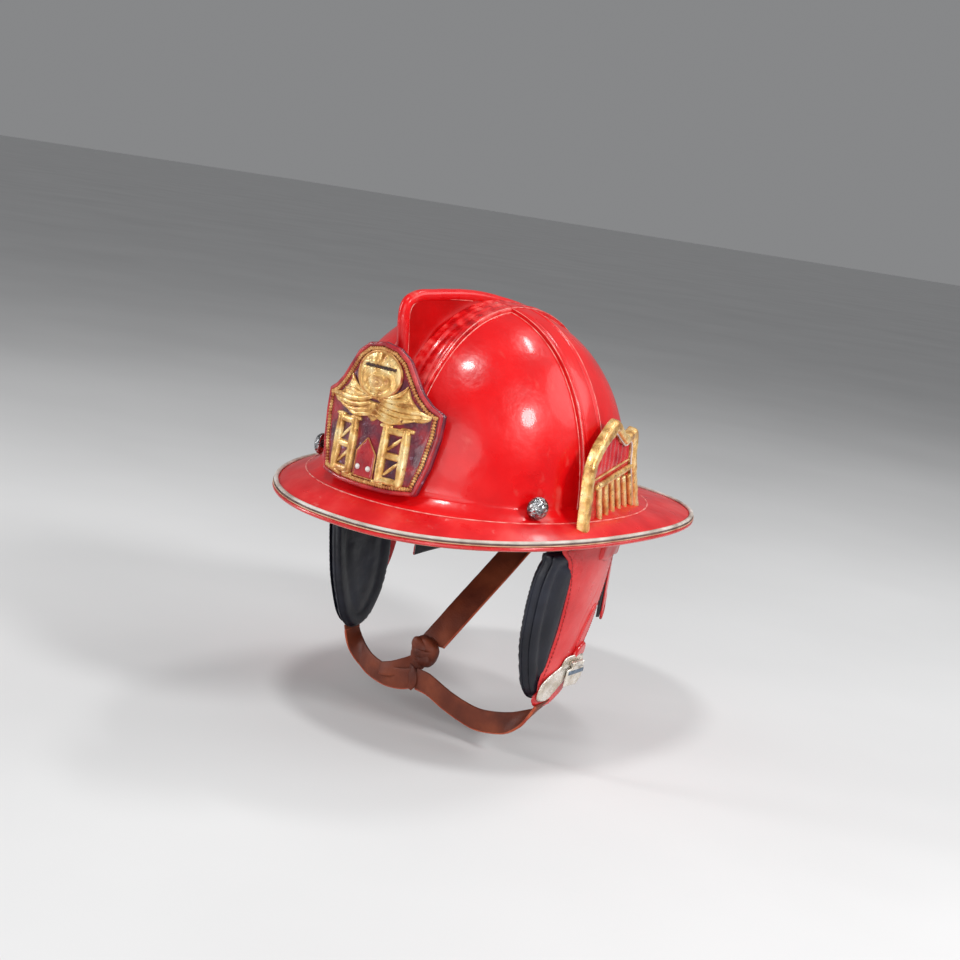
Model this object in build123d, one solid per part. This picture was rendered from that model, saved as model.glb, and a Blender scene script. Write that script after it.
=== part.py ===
from build123d import *
import math
import os

# Firefighter helmet of the traditional wide-brim pattern, in millimetres.
# +Z is up, the front shield faces -Y and the wearer's left is +X.
# The origin is the centre of the head opening, level with the brim's edge.

# ---- shell
DOME_HALF_WIDTH = 112.8
DOME_FRONT = 122.0          # from the dome's centre to its front
DOME_REAR = 129.5
DOME_CENTRE_Y = -11.5
DOME_HEIGHT = 150.5
PLAN_EXPONENT = 2.1         # 2 is an ellipse, more is squarer
PROFILE_EXPONENT = 2.2
SHELL_THICKNESS = 3.0
WALL_FOOT_Z = 16.0          # where the dome's wall meets the brim
BRIM_HALF_WIDTH = 147.0
BRIM_HALF_LENGTH = 185.4
BRIM_CENTRE_Y = 16.6
BRIM_EXPONENT = 2.28
BRIM_CREASE = 0.36          # place of the brim's crease, as a share of its width
RIB_RISE = 3.0
RIB_HALF_WIDTH = 24.0       # front-to-back rib
CROSS_RIB_HALF_WIDTH = 13.0
CROSS_RIB_Y = -14.0

# ---- comb
COMB_THICKNESS = 4.0
COMB_BEAD_RADIUS = 5.5

# ---- head harness
LINER_GAP = 1.5
LINER_THICKNESS = 11.0
LINER_FOOT_Z = 30.0
HEAD_HALF_WIDTH = 80.0
HEAD_HALF_LENGTH = 97.5
HEAD_CENTRE_Y = -5.5
HEADBAND_THICKNESS = 2.0
SWEATBAND_THICKNESS = 4.0
KNOB_RADIUS = 15.0
KNOB_Z = -5.0
KNOB_SHAFT_RADIUS = 4.0
RUNNING_GAP = 0.06

# ---- front shield
SHIELD_RADIUS = 127.0
SHIELD_FRONT_Y = -140.2
SHIELD_THICKNESS = 3.0
SHIELD_TILT = 3.0           # its foot stands forward by this many degrees
SHIELD_TILT_Z = 60.0

# ---- side knobs and badges
SIDE_KNOB_RADIUS = 8.5
SIDE_KNOB_PLACE = (103.6, -71.2, 18.6)
KNOB_STAND_OFF = 2.3        # its base off the wall, so the curve clears it
SIDE_KNOB_YAW = -26.0       # the way it faces, from straight sideways
BADGE_YAW = 13.0
BADGE_LEAN = 4.0
BADGE_FOOT = (110.0, 19.0, 6.0)

# ---- ear flaps
FLAP_LEAN = 7.5
FLAP_TOP = (118.0, 0.0, -8.0)
FLAP_BEND_RADIUS = 130.0
FLAP_BEND_Y = -12.0
PAD_THICKNESS = 13.0
HINGE_X = 106.0
HINGE_Z = -6.0
HINGE_PIN_RADIUS = 2.0

# ---- straps
STRAP_WIDTH = 18.0
STRAP_THICKNESS = 2.4
NAPE_STRAP_WIDTH = 25.0

RING_POINTS = 28


def signed_power(value, power):
    return math.copysign(abs(value) ** power, value)


def oval(half_width, front, rear, centre_y, z, exponent=PLAN_EXPONENT):
    """Points of a level egg-shaped ring, from the front round by the wearer's left."""
    points = []
    for step in range(RING_POINTS):
        turn = 2 * math.pi * step / RING_POINTS
        reach = front if math.cos(turn) > 0 else rear
        x = half_width * signed_power(math.sin(turn), 2 / exponent)
        y = centre_y - reach * signed_power(math.cos(turn), 2 / exponent)
        points.append(Vector(x, y, z))
    return points


def dome_ring(z, inset=0.0):
    """Ring of the dome's surface at height z, moved inwards by inset."""
    height = DOME_HEIGHT - inset
    scale = (1 - (z / height) ** PROFILE_EXPONENT) ** (1 / PROFILE_EXPONENT)
    return oval(
        (DOME_HALF_WIDTH - inset) * scale,
        (DOME_FRONT - inset) * scale,
        (DOME_REAR - inset) * scale,
        DOME_CENTRE_Y,
        z,
    )


def dome_levels(foot_z, inset=0.0, steps=9):
    """Rings from the dome's foot to just under its top, closer together near the top."""
    height = DOME_HEIGHT - inset
    first = math.asin(foot_z / height)
    last = math.radians(84)
    angles = [first + (last - first) * step / steps for step in range(steps + 1)]
    return [dome_ring(height * math.sin(angle), inset) for angle in angles]


def brim_edge(drop=0.0, inset=0.0):
    """Ring of the brim's outer edge, which dips at the front and a little at the back."""
    points = oval(
        BRIM_HALF_WIDTH - inset,
        BRIM_HALF_LENGTH - inset,
        BRIM_HALF_LENGTH - inset,
        BRIM_CENTRE_Y,
        0,
        BRIM_EXPONENT,
    )
    ring = []
    for step, point in enumerate(points):
        turn = 2 * math.pi * step / RING_POINTS
        z = -2.4 - 3.3 * math.cos(turn) - 2.9 * math.cos(2 * turn)
        ring.append(Vector(point.X, point.Y, z - drop))
    return ring


def between(ring_a, ring_b, share, rise=0.0):
    """Ring part of the way from one ring to another, lifted by rise."""
    return [a + (b - a) * share + Vector(0, 0, rise) for a, b in zip(ring_a, ring_b)]


def ring_edge(points):
    return Edge.make_spline(points, periodic=True)


def sock(rings):
    """Solid skinned over rings, closed by the flat first and last ring."""
    return Solid.make_loft([Wire([ring_edge(ring)]) for ring in rings], ruled=True)


def hoop(rings):
    """Closed hoop skinned over a loop of rings."""
    edges = [ring_edge(ring) for ring in rings]
    following = edges[1:] + edges[:1]
    faces = [Face.make_surface_from_curves(a, b) for a, b in zip(edges, following)]
    return Solid(Shell(faces))


def dome_solid(foot_z, inset=0.0):
    return sock(dome_levels(foot_z, inset))


def dome_layer(foot_z, outer_inset, inner_inset):
    """Open-bottomed cap between two offsets of the dome's surface."""
    return sock(dome_levels(foot_z, outer_inset)[::-1] + dome_levels(foot_z, inner_inset))


def outside_mass(gap):
    """Everything under the helmet's outer skin, grown by gap, to trim what stands on it."""
    foot = dome_ring(WALL_FOOT_Z, -gap)
    rim = brim_edge(-1.5 - gap, 4.0)
    crease = between(dome_ring(WALL_FOOT_Z), brim_edge(-1.5, 4.0), BRIM_CREASE, gap - 2.0)
    base = oval(BRIM_HALF_WIDTH, BRIM_HALF_LENGTH, BRIM_HALF_LENGTH, BRIM_CENTRE_Y, -30, BRIM_EXPONENT)
    wall = [dome_ring(z, -gap) for z in (30, 44, 58, 72, 88)]
    return sock([base, rim, crease, foot] + wall)


def slab(x_low, x_high, y_low, y_high, z_low, z_high):
    centre = ((x_low + x_high) / 2, (y_low + y_high) / 2, (z_low + z_high) / 2)
    return Pos(*centre) * Box(x_high - x_low, y_high - y_low, z_high - z_low)


def side_plate(outline, x_low, x_high):
    """Plate cut to an outline of (y, z) points, from x_low to x_high."""
    face = Plane.YZ * make_face(Polyline(*outline, close=True))
    return Pos(x_low, 0, 0) * extrude(face, x_high - x_low)


def ribbon(stations, width, thickness):
    """Flat strap through stations of (point, width direction)."""
    points = [Vector(*point) for point, across in stations]
    sections = []
    for index, (point, across) in enumerate(stations):
        ahead = points[min(index + 1, len(points) - 1)]
        behind = points[max(index - 1, 0)]
        along = (ahead - behind).normalized()
        across = Vector(*across)
        across = (across - along * across.dot(along)).normalized()
        out = along.cross(across)
        half_w = across * (width / 2)
        half_t = out * (thickness / 2)
        place = points[index]
        corners = [place + half_w + half_t, place - half_w + half_t]
        corners += [place - half_w - half_t, place + half_w - half_t]
        sections.append(Wire.make_polygon(corners, close=True))
    return Solid.make_loft(sections, ruled=True)


def pair(shape):
    """Left and right copies of a piece that stands at the wearer's left."""
    return {"left": shape, "right": mirror(shape, about=Plane.YZ)}


nodes = {}


# ---- shell: dome, brim and the raised cross of ribs in one moulding
def make_shell():
    outer_foot = dome_ring(WALL_FOOT_Z)
    inner_foot = dome_ring(WALL_FOOT_Z - SHELL_THICKNESS, SHELL_THICKNESS)
    edge_top = brim_edge(-1.5, 4.0)
    edge_bottom = brim_edge(1.5, 4.0)
    rings = list(reversed(dome_levels(WALL_FOOT_Z)))
    rings.append(between(outer_foot, edge_top, BRIM_CREASE, -2.0))
    rings += [edge_top, edge_bottom]
    rings.append(between(inner_foot, edge_bottom, BRIM_CREASE, -2.0))
    rings += dome_levels(WALL_FOOT_Z - SHELL_THICKNESS, SHELL_THICKNESS)
    shell = sock(rings)
    rib_zone = slab(-RIB_HALF_WIDTH, RIB_HALF_WIDTH, -150, 150, 24, 200)
    rib_zone += slab(
        -150, 150, CROSS_RIB_Y - CROSS_RIB_HALF_WIDTH, CROSS_RIB_Y + CROSS_RIB_HALF_WIDTH, 40, 200
    )
    shell += dome_layer(20, -RIB_RISE, SHELL_THICKNESS / 2) & rib_zone
    for shank in pair(knob_place(Cylinder(3.2, 30))).values():
        shell -= shank
    return shell


def knob_place(shape):
    """Puts a shape drawn on the +Z axis at the wearer's left side knob."""
    return Pos(*SIDE_KNOB_PLACE) * Rot(0, 0, SIDE_KNOB_YAW) * Rot(0, 90, 0) * shape


# ---- comb: thin fin with a round bead along its edge
def make_comb():
    crest = [(-119.5, 98), (-122, 118), (-124.5, 143), (-113, 151.5), (-90, 153.5), (-62, 155)]
    crest += [(-38, 154.6), (-12, 152), (15, 148), (40, 141.5), (58, 132)]
    line = Spline(*[(0, y, z) for y, z in crest])
    fin_outline = crest + [(58, 110), (0, 120), (-90, 98)]
    fin = side_plate(fin_outline, -COMB_THICKNESS / 2, COMB_THICKNESS / 2)
    start = Plane(origin=line @ 0, z_dir=line % 0)
    bead = sweep(start * Circle(COMB_BEAD_RADIUS), path=line)
    base = dome_solid(20, -RIB_RISE)
    return (fin + bead) - base


# ---- trim round the brim's edge: pale piping over a round red bumper
def make_brim_trim():
    piping = hoop([
        brim_edge(-3.2, 4.0),
        brim_edge(-3.2, 1.0),
        brim_edge(-0.6, 0.2),
        brim_edge(0.4, 0.4),
        brim_edge(0.4, 3.9),
    ])
    bumper = hoop([
        brim_edge(0.5, 3.9),
        brim_edge(0.5, 0.4),
        brim_edge(2.0, 0.0),
        brim_edge(3.6, 1.2),
        brim_edge(3.8, 3.9),
    ])
    return piping, bumper


# ---- head harness
def head_ring(z, outset=0.0):
    reach = HEAD_HALF_LENGTH + outset
    return oval(HEAD_HALF_WIDTH + outset, reach, reach, HEAD_CENTRE_Y, z)


def band(z_low, z_high, outer, inner):
    """Upright hoop between two offsets of the head ring."""
    rings = [head_ring(z_low, inner), head_ring(z_low, outer)]
    rings += [head_ring(z_high, outer), head_ring(z_high, inner)]
    return hoop(rings)


def make_liner():
    outer_inset = SHELL_THICKNESS + LINER_GAP
    return dome_layer(LINER_FOOT_Z, outer_inset, outer_inset + LINER_THICKNESS)


def make_crown_straps():
    inset = SHELL_THICKNESS + LINER_GAP + LINER_THICKNESS + 1.0
    layer = dome_layer(46, inset, inset + 1.8)
    lanes = slab(-10, 10, -150, 150, 40, 160) + slab(-150, 150, -15.5, 4.5, 40, 160)
    return layer & lanes


def make_hangers():
    """Six webbing clips that join the headband to the shell under the liner."""
    headband = sock([head_ring(10, 0.2), head_ring(40, 0.2)])
    inside = dome_solid(10, SHELL_THICKNESS + 0.2)
    clips = []
    for turn in (40, 118, 155, 205, 242, 320):
        reach = Rot(0, 0, turn - 90) * Pos(80, 0, 22) * Box(90, 14, 2.4)
        clip = (Pos(0, HEAD_CENTRE_Y, 0) * reach & inside) - headband
        clips += [solid for solid in clip.solids() if solid.volume > 50]
    return Compound(clips)


def make_ratchet():
    housing_y = HEAD_CENTRE_Y + HEAD_HALF_LENGTH
    behind_head = sock([head_ring(-30, 0.2), head_ring(20, 0.2)])
    housing = fillet((Pos(0, housing_y + 2, KNOB_Z) * Box(56, 14, 26)).edges().filter_by(Axis.Y), 6)
    housing -= behind_head
    seat = Pos(0, housing_y + 6, KNOB_Z) * Rot(90, 0, 0)
    housing -= seat * Cylinder(KNOB_SHAFT_RADIUS + RUNNING_GAP, 9)
    knob = Pos(0, housing_y + 15, KNOB_Z) * Rot(90, 0, 0) * Cylinder(KNOB_RADIUS, 10)
    for lobe in range(12):
        angle = math.radians(30 * lobe)
        x = (KNOB_RADIUS + 1) * math.cos(angle)
        z = KNOB_Z + (KNOB_RADIUS + 1) * math.sin(angle)
        knob -= Pos(x, housing_y + 15, z) * Rot(90, 0, 0) * Cylinder(2.4, 12)
    knob += Pos(0, housing_y + 7.5, KNOB_Z) * Rot(90, 0, 0) * Cylinder(KNOB_SHAFT_RADIUS, 8)
    return housing, knob


# ---- front shield
def shield_layer(outline, depth_back, depth_front):
    """Curved leather layer cut to an (x, z) outline, measured forward from the plate's back."""
    radius = SHIELD_RADIUS - SHIELD_THICKNESS
    solid = Cylinder(radius + depth_front, 260) - Cylinder(radius + depth_back, 270)
    face = Plane.XZ * make_face(outline)
    prism = extrude(face, 200)
    return shield_place(Pos(0, 0, SHIELD_TILT_Z) * solid & prism)


def shield_place(shape):
    """Leans a shape drawn round the shield's own axis so that its foot stands forward."""
    front = Pos(0, SHIELD_FRONT_Y, SHIELD_TILT_Z)
    return front * Rot(-SHIELD_TILT, 0, 0) * Pos(0, SHIELD_RADIUS, -SHIELD_TILT_Z) * shape


def shield_outline(shrink=0.0):
    """Bell-topped shield: round head, hollow shoulders, sides that narrow to the foot."""
    right = [(0, 118.5), (14, 116), (24, 109), (31, 98), (37.5, 88), (45, 81), (54, 76.5)]
    right += [(53.8, 60), (50.5, 38), (44, 16), (24, 13), (0, 12.5)]
    inset = []
    for x, z in right:
        inset.append((x * (1 - shrink / 52), 62 + (z - 62) * (1 - shrink / 54)))
    left = [(-x, z) for x, z in reversed(inset[1:-1])]
    return Polyline(*inset, *left, close=True)


def make_shield():
    face_depth = SHIELD_THICKNESS
    skin = outside_mass(0.3)
    plate = shield_layer(shield_outline(), 0, face_depth) - skin
    rim = shield_layer(shield_outline(), face_depth, face_depth + 1.6)
    rim = rim - shield_layer(shield_outline(3.2), face_depth - 1, face_depth + 3) - skin
    border = shield_layer(shield_outline(3.3), face_depth, face_depth + 1.8)
    border = border - shield_layer(shield_outline(6.4), face_depth - 1, face_depth + 3) - skin
    disc = Pos(0, 94.5) * Ellipse(20, 16.8).edge()
    medallion = shield_layer(Wire([disc]), face_depth, face_depth + 3.0)
    scroll = scroll_leaves(face_depth)
    ladders = [ladder_ornament(side, face_depth) - border for side in (-1, 1)]
    pennant_line = Polyline((-9, 20), (-9, 38), (0, 49), (9, 38), (9, 20), close=True)
    pennant = shield_layer(pennant_line, face_depth, face_depth + 1.6) - skin
    rivets = []
    for side in (-1, 1):
        ring = Pos(side * 5.0, 27) * Circle(2.0).edge()
        rivets.append(shield_layer(Wire([ring]), face_depth + 1.6, face_depth + 3.4))
    return plate, rim, border, medallion, scroll, ladders, pennant, Compound(rivets)


def scroll_leaves(depth):
    """Gold leaf scroll under the medallion that spreads to both shoulders."""
    right = [(0, 61), (8, 65), (22, 63), (32, 67), (42, 68.5), (46.5, 73)]
    right += [(38, 76), (30, 83), (26, 90), (20, 82), (12, 77), (0, 75)]
    left = [(-x, z) for x, z in reversed(right[1:-1])]
    return shield_layer(Polyline(*right, *left, close=True), depth, depth + 2.4)


def ladder_ornament(side, depth):
    """Upright gold ornament: two posts joined by three rungs."""
    centre = side * 23.0
    posts = []
    for offset in (-8.5, 8.5):
        posts.append(slab(centre + offset - 2.8, centre + offset + 2.8, -200, 0, 15, 65))
    for level in (22, 40, 58):
        posts.append(slab(centre - 8, centre + 8, -200, 0, level - 2, level + 2))
    frame = posts[0] + posts[1:]
    low, high = 20, 60
    start, end = centre - 13, centre + 13
    box = Polyline((start, low), (end, low), (end, high), (start, high), close=True)
    return shield_layer(box, depth, depth + 2.2) & frame


def make_shield_bracket():
    """Stem that carries the shield's head on the dome."""
    stem = slab(-9, 9, -140, -100, 74, 91) - dome_solid(20, -RIB_RISE - 0.1)
    barrel = Pos(0, 0, SHIELD_TILT_Z) * Cylinder(SHIELD_RADIUS - SHIELD_THICKNESS, 300)
    return stem & shield_place(barrel)


# ---- side knobs
def make_side_knob():
    radius = SIDE_KNOB_RADIUS
    ball = radius * 1.12
    head = (Pos(0, 0, 1.2 + 6.0 - ball) * Sphere(ball)) & (Pos(0, 0, 11.2) * Cylinder(radius + 3, 20))
    head += Pos(0, 0, -3.0) * Cylinder(3.0, 11)
    head = Pos(0, 0, KNOB_STAND_OFF) * head
    nut = Pos(0, 0, -11.9) * extrude(RegularPolygon(5.2, 6), 3.4)
    nut -= Pos(0, 0, -10) * Cylinder(3.05, 20)
    return knob_place(head), knob_place(nut)


# ---- side badges
def badge_place(shape):
    """Puts a shape drawn in its own X-Z plane, facing -Y, on the wearer's left of the dome."""
    return Pos(*BADGE_FOOT) * Rot(0, 0, BADGE_YAW) * Rot(0, -BADGE_LEAN, 0) * Rot(0, 0, 90) * shape


def badge_layer(points, low, high):
    face = Plane.XZ * make_face(Polyline(*points, close=True))
    return Pos(0, -low, 0) * extrude(face, high - low)


BADGE_OUTER = [
    (-67, -2), (-66, 22), (-64, 42), (-56, 54), (-46, 62), (-28, 72), (-14, 77), (-4, 72),
    (10, 64), (22, 66), (30, 68), (35, 62), (37, 42), (48, 17), (56, -2),
]
BADGE_INNER = [
    (-56, -4), (-55, 22), (-53, 39), (-42, 52), (-22, 62), (-13, 66), (0, 60),
    (12, 55), (24, 57), (28, 50), (29, 40), (38, 16), (46, -4),
]


def make_badge():
    frame = badge_layer(BADGE_OUTER, 0, 7.0) - badge_layer(BADGE_INNER, -1, 9)
    plate = badge_layer([(x * 0.99, z - 0.4) for x, z in BADGE_INNER], 0, 2.2)
    pillars = badge_layer([(-40, 26), (-40, 31), (31, 40), (31, 35)], 2.4, 5.4)
    for step in range(6):
        top = -37.5 + 13.1 * step
        foot = -28.5 + 14.0 * step
        bar = [(foot - 2.5, 0), (top - 2.5, 30), (top + 2.5, 30), (foot + 2.5, 0)]
        pillars += badge_layer(bar, 2.4, 5.4)
    skin = outside_mass(0.3)
    return [badge_place(piece) - skin for piece in (frame, plate, pillars - frame)]


# ---- ear flaps
def flap_place(shape):
    return Pos(*FLAP_TOP) * Rot(0, FLAP_LEAN, 0) * shape


def flap_layer(outline, low, high):
    """Layer of the flap, bent round the head, between two depths out from the pad's outer face."""
    solid = Cylinder(FLAP_BEND_RADIUS + high, 400) - Cylinder(FLAP_BEND_RADIUS + low, 410)
    solid = Pos(-FLAP_BEND_RADIUS, FLAP_BEND_Y, 0) * solid
    return flap_place(solid & side_plate(outline, -60, 60))


PAD_OUTLINE = [
    (-44, -9), (-50, -18), (-53, -36), (-52, -60), (-49, -84), (-43, -104), (-36, -120), (-26, -130),
    (-14, -131.5), (-3, -127), (7, -114), (14, -98), (19, -76), (21, -50), (22, -22), (18, -9),
]
COVER_OUTLINE = [
    (-40, -3), (-34, -16), (-29, -31), (-26, -46), (-25, -64), (-25, -80), (-27, -96), (-29, -109),
    (-28, -121), (-20, -127), (0, -121), (18, -105), (23, -92), (30, -76), (35, -58), (38, -40),
    (38, -20), (36, -3),
]
LUG_REACH = 117.6            # where the hinge lugs meet the board


def make_flap():
    pad = flap_layer(PAD_OUTLINE, -PAD_THICKNESS, 0)
    back_outline = [(y * 0.94 - 1, z * 0.97 - 1) for y, z in PAD_OUTLINE]
    backing = flap_layer(back_outline, 0.2, 1.8)
    lugs = []
    for y in (-22, -2):
        arm = slab(HINGE_X, LUG_REACH, y - 4, y + 4, HINGE_Z - 2.0, HINGE_Z + 2.0)
        arm += slab(LUG_REACH - 2, LUG_REACH, y - 4, y + 4, HINGE_Z - 10.0, HINGE_Z + 2.0)
        arm += Pos(HINGE_X, y, HINGE_Z) * Rot(90, 0, 0) * Cylinder(4.2, 8)
        arm -= Pos(HINGE_X, y, HINGE_Z) * Rot(90, 0, 0) * Cylinder(HINGE_PIN_RADIUS + RUNNING_GAP, 10)
        lugs.append(arm)
    backing = backing + lugs
    cover = flap_layer(COVER_OUTLINE, 2.0, 3.6)
    loop_outline = [(2, -2), (2, -15), (16, -19), (30, -16), (46, -20), (46, -2)]
    loop = flap_layer(loop_outline, 3.8, 6.2)
    tongue_outline = [(6, -86), (12, -70), (22, -56), (27, -60), (25, -74), (18, -88), (12, -91)]
    tongue = flap_layer(tongue_outline, 3.8, 5.0)
    return pad, backing, cover, loop, tongue


def make_hanger():
    """Steel plate inside the shell's wall with two ears that hold the flap's hinge pin."""
    plate = slab(HINGE_X - 1.6, HINGE_X + 0.6, -33.5, 9.5, HINGE_Z, 27)
    for y in (-31, 7):
        plate += slab(HINGE_X - 4, HINGE_X + 4, y - 2.5, y + 2.5, HINGE_Z - 4, HINGE_Z + 9)
    for y in (-22, -2):
        plate -= slab(HINGE_X - 9, HINGE_X + 9, y - 4.6, y + 4.6, HINGE_Z - 6, HINGE_Z + 5.2)
    plate -= slab(HINGE_X - 9, HINGE_X + 9, -17, -7, HINGE_Z - 6, HINGE_Z + 5.2)
    bore = Pos(HINGE_X, -12, HINGE_Z) * Rot(90, 0, 0)
    plate -= bore * Cylinder(HINGE_PIN_RADIUS, 60)
    pin = bore * Cylinder(HINGE_PIN_RADIUS, 43)
    rivets = []
    for y in (-26, 2):
        head = Pos(HINGE_X - 3.0, y, 20) * Rot(0, 90, 0) * Cylinder(4.0, 2.6)
        rivets.append(head)
    return plate, pin, Compound([rivet.solid() for rivet in rivets])


# ---- strap clasp at the foot of the left flap
CLASP_HINGE = (8.3, 7.0, -100.0)      # in the flap's own frame

CLASP_OUTLINE = [
    (-31, -127), (-32, -112), (-24, -105), (-8, -98), (-4, -94), (17, -94), (19, -103), (4, -112),
    (-4, -122), (-16, -130),
]


def make_clasp():
    base = side_plate(CLASP_OUTLINE, 4.7, 6.0)
    x, y, z = CLASP_HINGE
    cheeks = slab(5.9, 10.3, y - 7.6, y - 5.0, z - 2.4, z + 2.4)
    cheeks += slab(5.9, 10.3, y + 5.0, y + 7.6, z - 2.4, z + 2.4)
    pin = Pos(x, y, z) * Rot(90, 0, 0) * Cylinder(1.0, 15)
    base = (base + cheeks) - Pos(x, y, z) * Rot(90, 0, 0) * Cylinder(1.0, 20)
    barrel = Pos(x, y, z) * Rot(90, 0, 0) * Cylinder(2.0, 9.6)
    leaf = slab(7.0, 8.7, y - 10, y + 12, z - 20, z - 3.8)
    leaf += slab(7.0, 8.7, y - 4.8, y + 4.8, z - 4.4, z)
    lever = (barrel + leaf) - Pos(x, y, z) * Rot(90, 0, 0) * Cylinder(1.0 + RUNNING_GAP, 20)
    shift = bend_offset(-5.0)
    return [flap_place(Pos(-shift, 0, 0) * piece) for piece in (base, pin, lever)]


def bend_offset(y):
    """How far the bent flap has drawn in at y, from its line at FLAP_BEND_Y."""
    return FLAP_BEND_RADIUS - math.sqrt(FLAP_BEND_RADIUS ** 2 - (y - FLAP_BEND_Y) ** 2)


# ---- neck guard
GUARD_REAR_EXTRA = 21.5      # how much further the nape is from the centre than the sides


def guard_layer(outer, inner):
    """Curtain that runs round the nape between the two ear flaps."""
    rear_outer, rear_inner = outer + GUARD_REAR_EXTRA, inner + GUARD_REAR_EXTRA
    tall = sock([oval(outer, outer, rear_outer, DOME_CENTRE_Y, z) for z in (-90, 4)])
    core = sock([oval(inner, inner, rear_inner, DOME_CENTRE_Y, z) for z in (-91, 5)])
    outline = [(49, 4), (49, -84), (84, -71), (130, -56), (130, 4)]
    return (tall - core) & side_plate(outline, -150, 150)


# ---- straps
RIGHT_STRAP_ROUTE = [
    ((-98.5, -14, -141.5), (0, 1, 0)),
    ((-95.5, -15, -146.0), (0, 1, 0.2)),
    ((-89.2, -17, -151.4), (0, 0.7, 0.7)),
    ((-78.3, -20, -156.8), (0, 0.25, 1)),
    ((-64.4, -24, -161.1), (0, 0.1, 1)),
    ((-44.4, -28, -162.6), (0, 0, 1)),
    ((-25.5, -31, -159.3), (0, 0, 1)),
    ((-14.0, -31, -155.0), (0, 0, 1)),
]
LEFT_STRAP_ROUTE = [
    ((-7.5, -31.3, -154.2), (0, 0, 1)),
    ((4.3, -32, -155.0), (0, 0, 1)),
    ((21.0, -32, -160.4), (0, 0, 1)),
    ((39.5, -31, -165.2), (0, 0, 1)),
    ((56.5, -29, -167.2), (0, 0.1, 1)),
    ((78.5, -26, -162.7), (0, 0.25, 1)),
    ((93.0, -24, -154.5), (0, 0.7, 0.7)),
    ((100.0, -22.5, -147.5), (0, 1, 0.4)),
    ((103.6, -21.5, -141.8), (0, 1, 0.2)),
]
NAPE_STRAP_ROUTE = [
    ((0, 114.5, -25), (1, 0, 0)),
    ((0, 103, -31), (1, 0, 0)),
    ((1, 88, -38), (1, 0.1, 0)),
    ((2, 66, -50), (1, 0.15, 0)),
    ((0, 42, -70), (1, 0.15, 0)),
    ((-5, 18, -94), (1, 0.15, 0)),
    ((-12, -4, -120), (1, 0.1, 0)),
]


def build():
    nodes["shell"] = make_shell()
    nodes["comb"] = make_comb()
    nodes["brim_piping"], nodes["brim_bumper"] = make_brim_trim()
    nodes["impact_liner"] = make_liner()
    nodes["crown_straps"] = make_crown_straps()
    nodes["headband"] = band(6, 40, 0, -HEADBAND_THICKNESS)
    inner = -HEADBAND_THICKNESS - 0.2
    nodes["sweatband"] = band(4, 38, inner, inner - SWEATBAND_THICKNESS)
    nodes["headband_clips"] = make_hangers()
    nodes["ratchet_housing"], nodes["ratchet_knob"] = make_ratchet()

    plate, rim, border, medallion, scroll, ladders, pennant, rivets = make_shield()
    nodes["shield_plate"] = plate
    nodes["shield_rim"] = rim
    nodes["shield_border"] = border
    nodes["shield_medallion"] = medallion
    nodes["shield_scroll"] = scroll - medallion
    nodes["shield_ornament_right"], nodes["shield_ornament_left"] = ladders
    nodes["shield_pennant"] = pennant
    nodes["shield_rivets"] = rivets
    nodes["shield_stem"] = make_shield_bracket()

    make_sides("side_knob", make_side_knob()[0])
    make_sides("side_knob_nut", make_side_knob()[1])
    for name, shape in zip(("badge_frame", "badge_plate", "badge_pillars"), make_badge()):
        make_sides(name, shape)
    flap_names = ("ear_pad", "flap_backing", "flap_cover", "flap_loop", "flap_tongue")
    for name, shape in zip(flap_names, make_flap()):
        make_sides(name, shape)
    for name, shape in zip(("flap_hanger", "flap_pin", "hanger_rivets"), make_hanger()):
        make_sides(name, shape)
    nodes["clasp_base"], nodes["clasp_pin"], nodes["clasp_lever"] = make_clasp()

    nodes["neck_guard_lining"] = guard_layer(110.0, 107.0)
    nodes["neck_guard_cover"] = guard_layer(111.8, 110.2)
    nodes["nape_strap"] = ribbon(NAPE_STRAP_ROUTE, NAPE_STRAP_WIDTH, STRAP_THICKNESS)
    nodes["chin_strap_right"] = ribbon(RIGHT_STRAP_ROUTE, STRAP_WIDTH, STRAP_THICKNESS)
    nodes["chin_strap_left"] = ribbon(LEFT_STRAP_ROUTE, STRAP_WIDTH, STRAP_THICKNESS)
    knot = Pos(-17, -16, -136) * Rot(0, 12, 0) * Box(24, 15, 26)
    nodes["strap_knot"] = fillet(knot.edges(), 5)


def make_sides(name, shape):
    for side, piece in pair(shape).items():
        nodes[name + "_" + side] = piece


build()
os.makedirs("parts", exist_ok=True)
for name, shape in nodes.items():
    export_step(shape, "parts/" + name + ".step")
    print(name, round(shape.volume / 1000, 2), "cm3")
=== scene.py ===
# %% [markdown]
# # A firefighter's helmet, finished in Blender
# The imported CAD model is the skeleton: every piece, joint and size comes from it.
# This lesson puts the real surfaces on it: lacquered shell, embossed leather, cast gold,
# padded flaps, oiled straps.
# We load the frame first and keep its box, because the finished helmet has to stay inside it.

# %% Load the frame
import math

import bmesh
import bpy
import numpy as np
from mathutils import Matrix, Vector, noise
from mathutils.geometry import delaunay_2d_cdt


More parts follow.
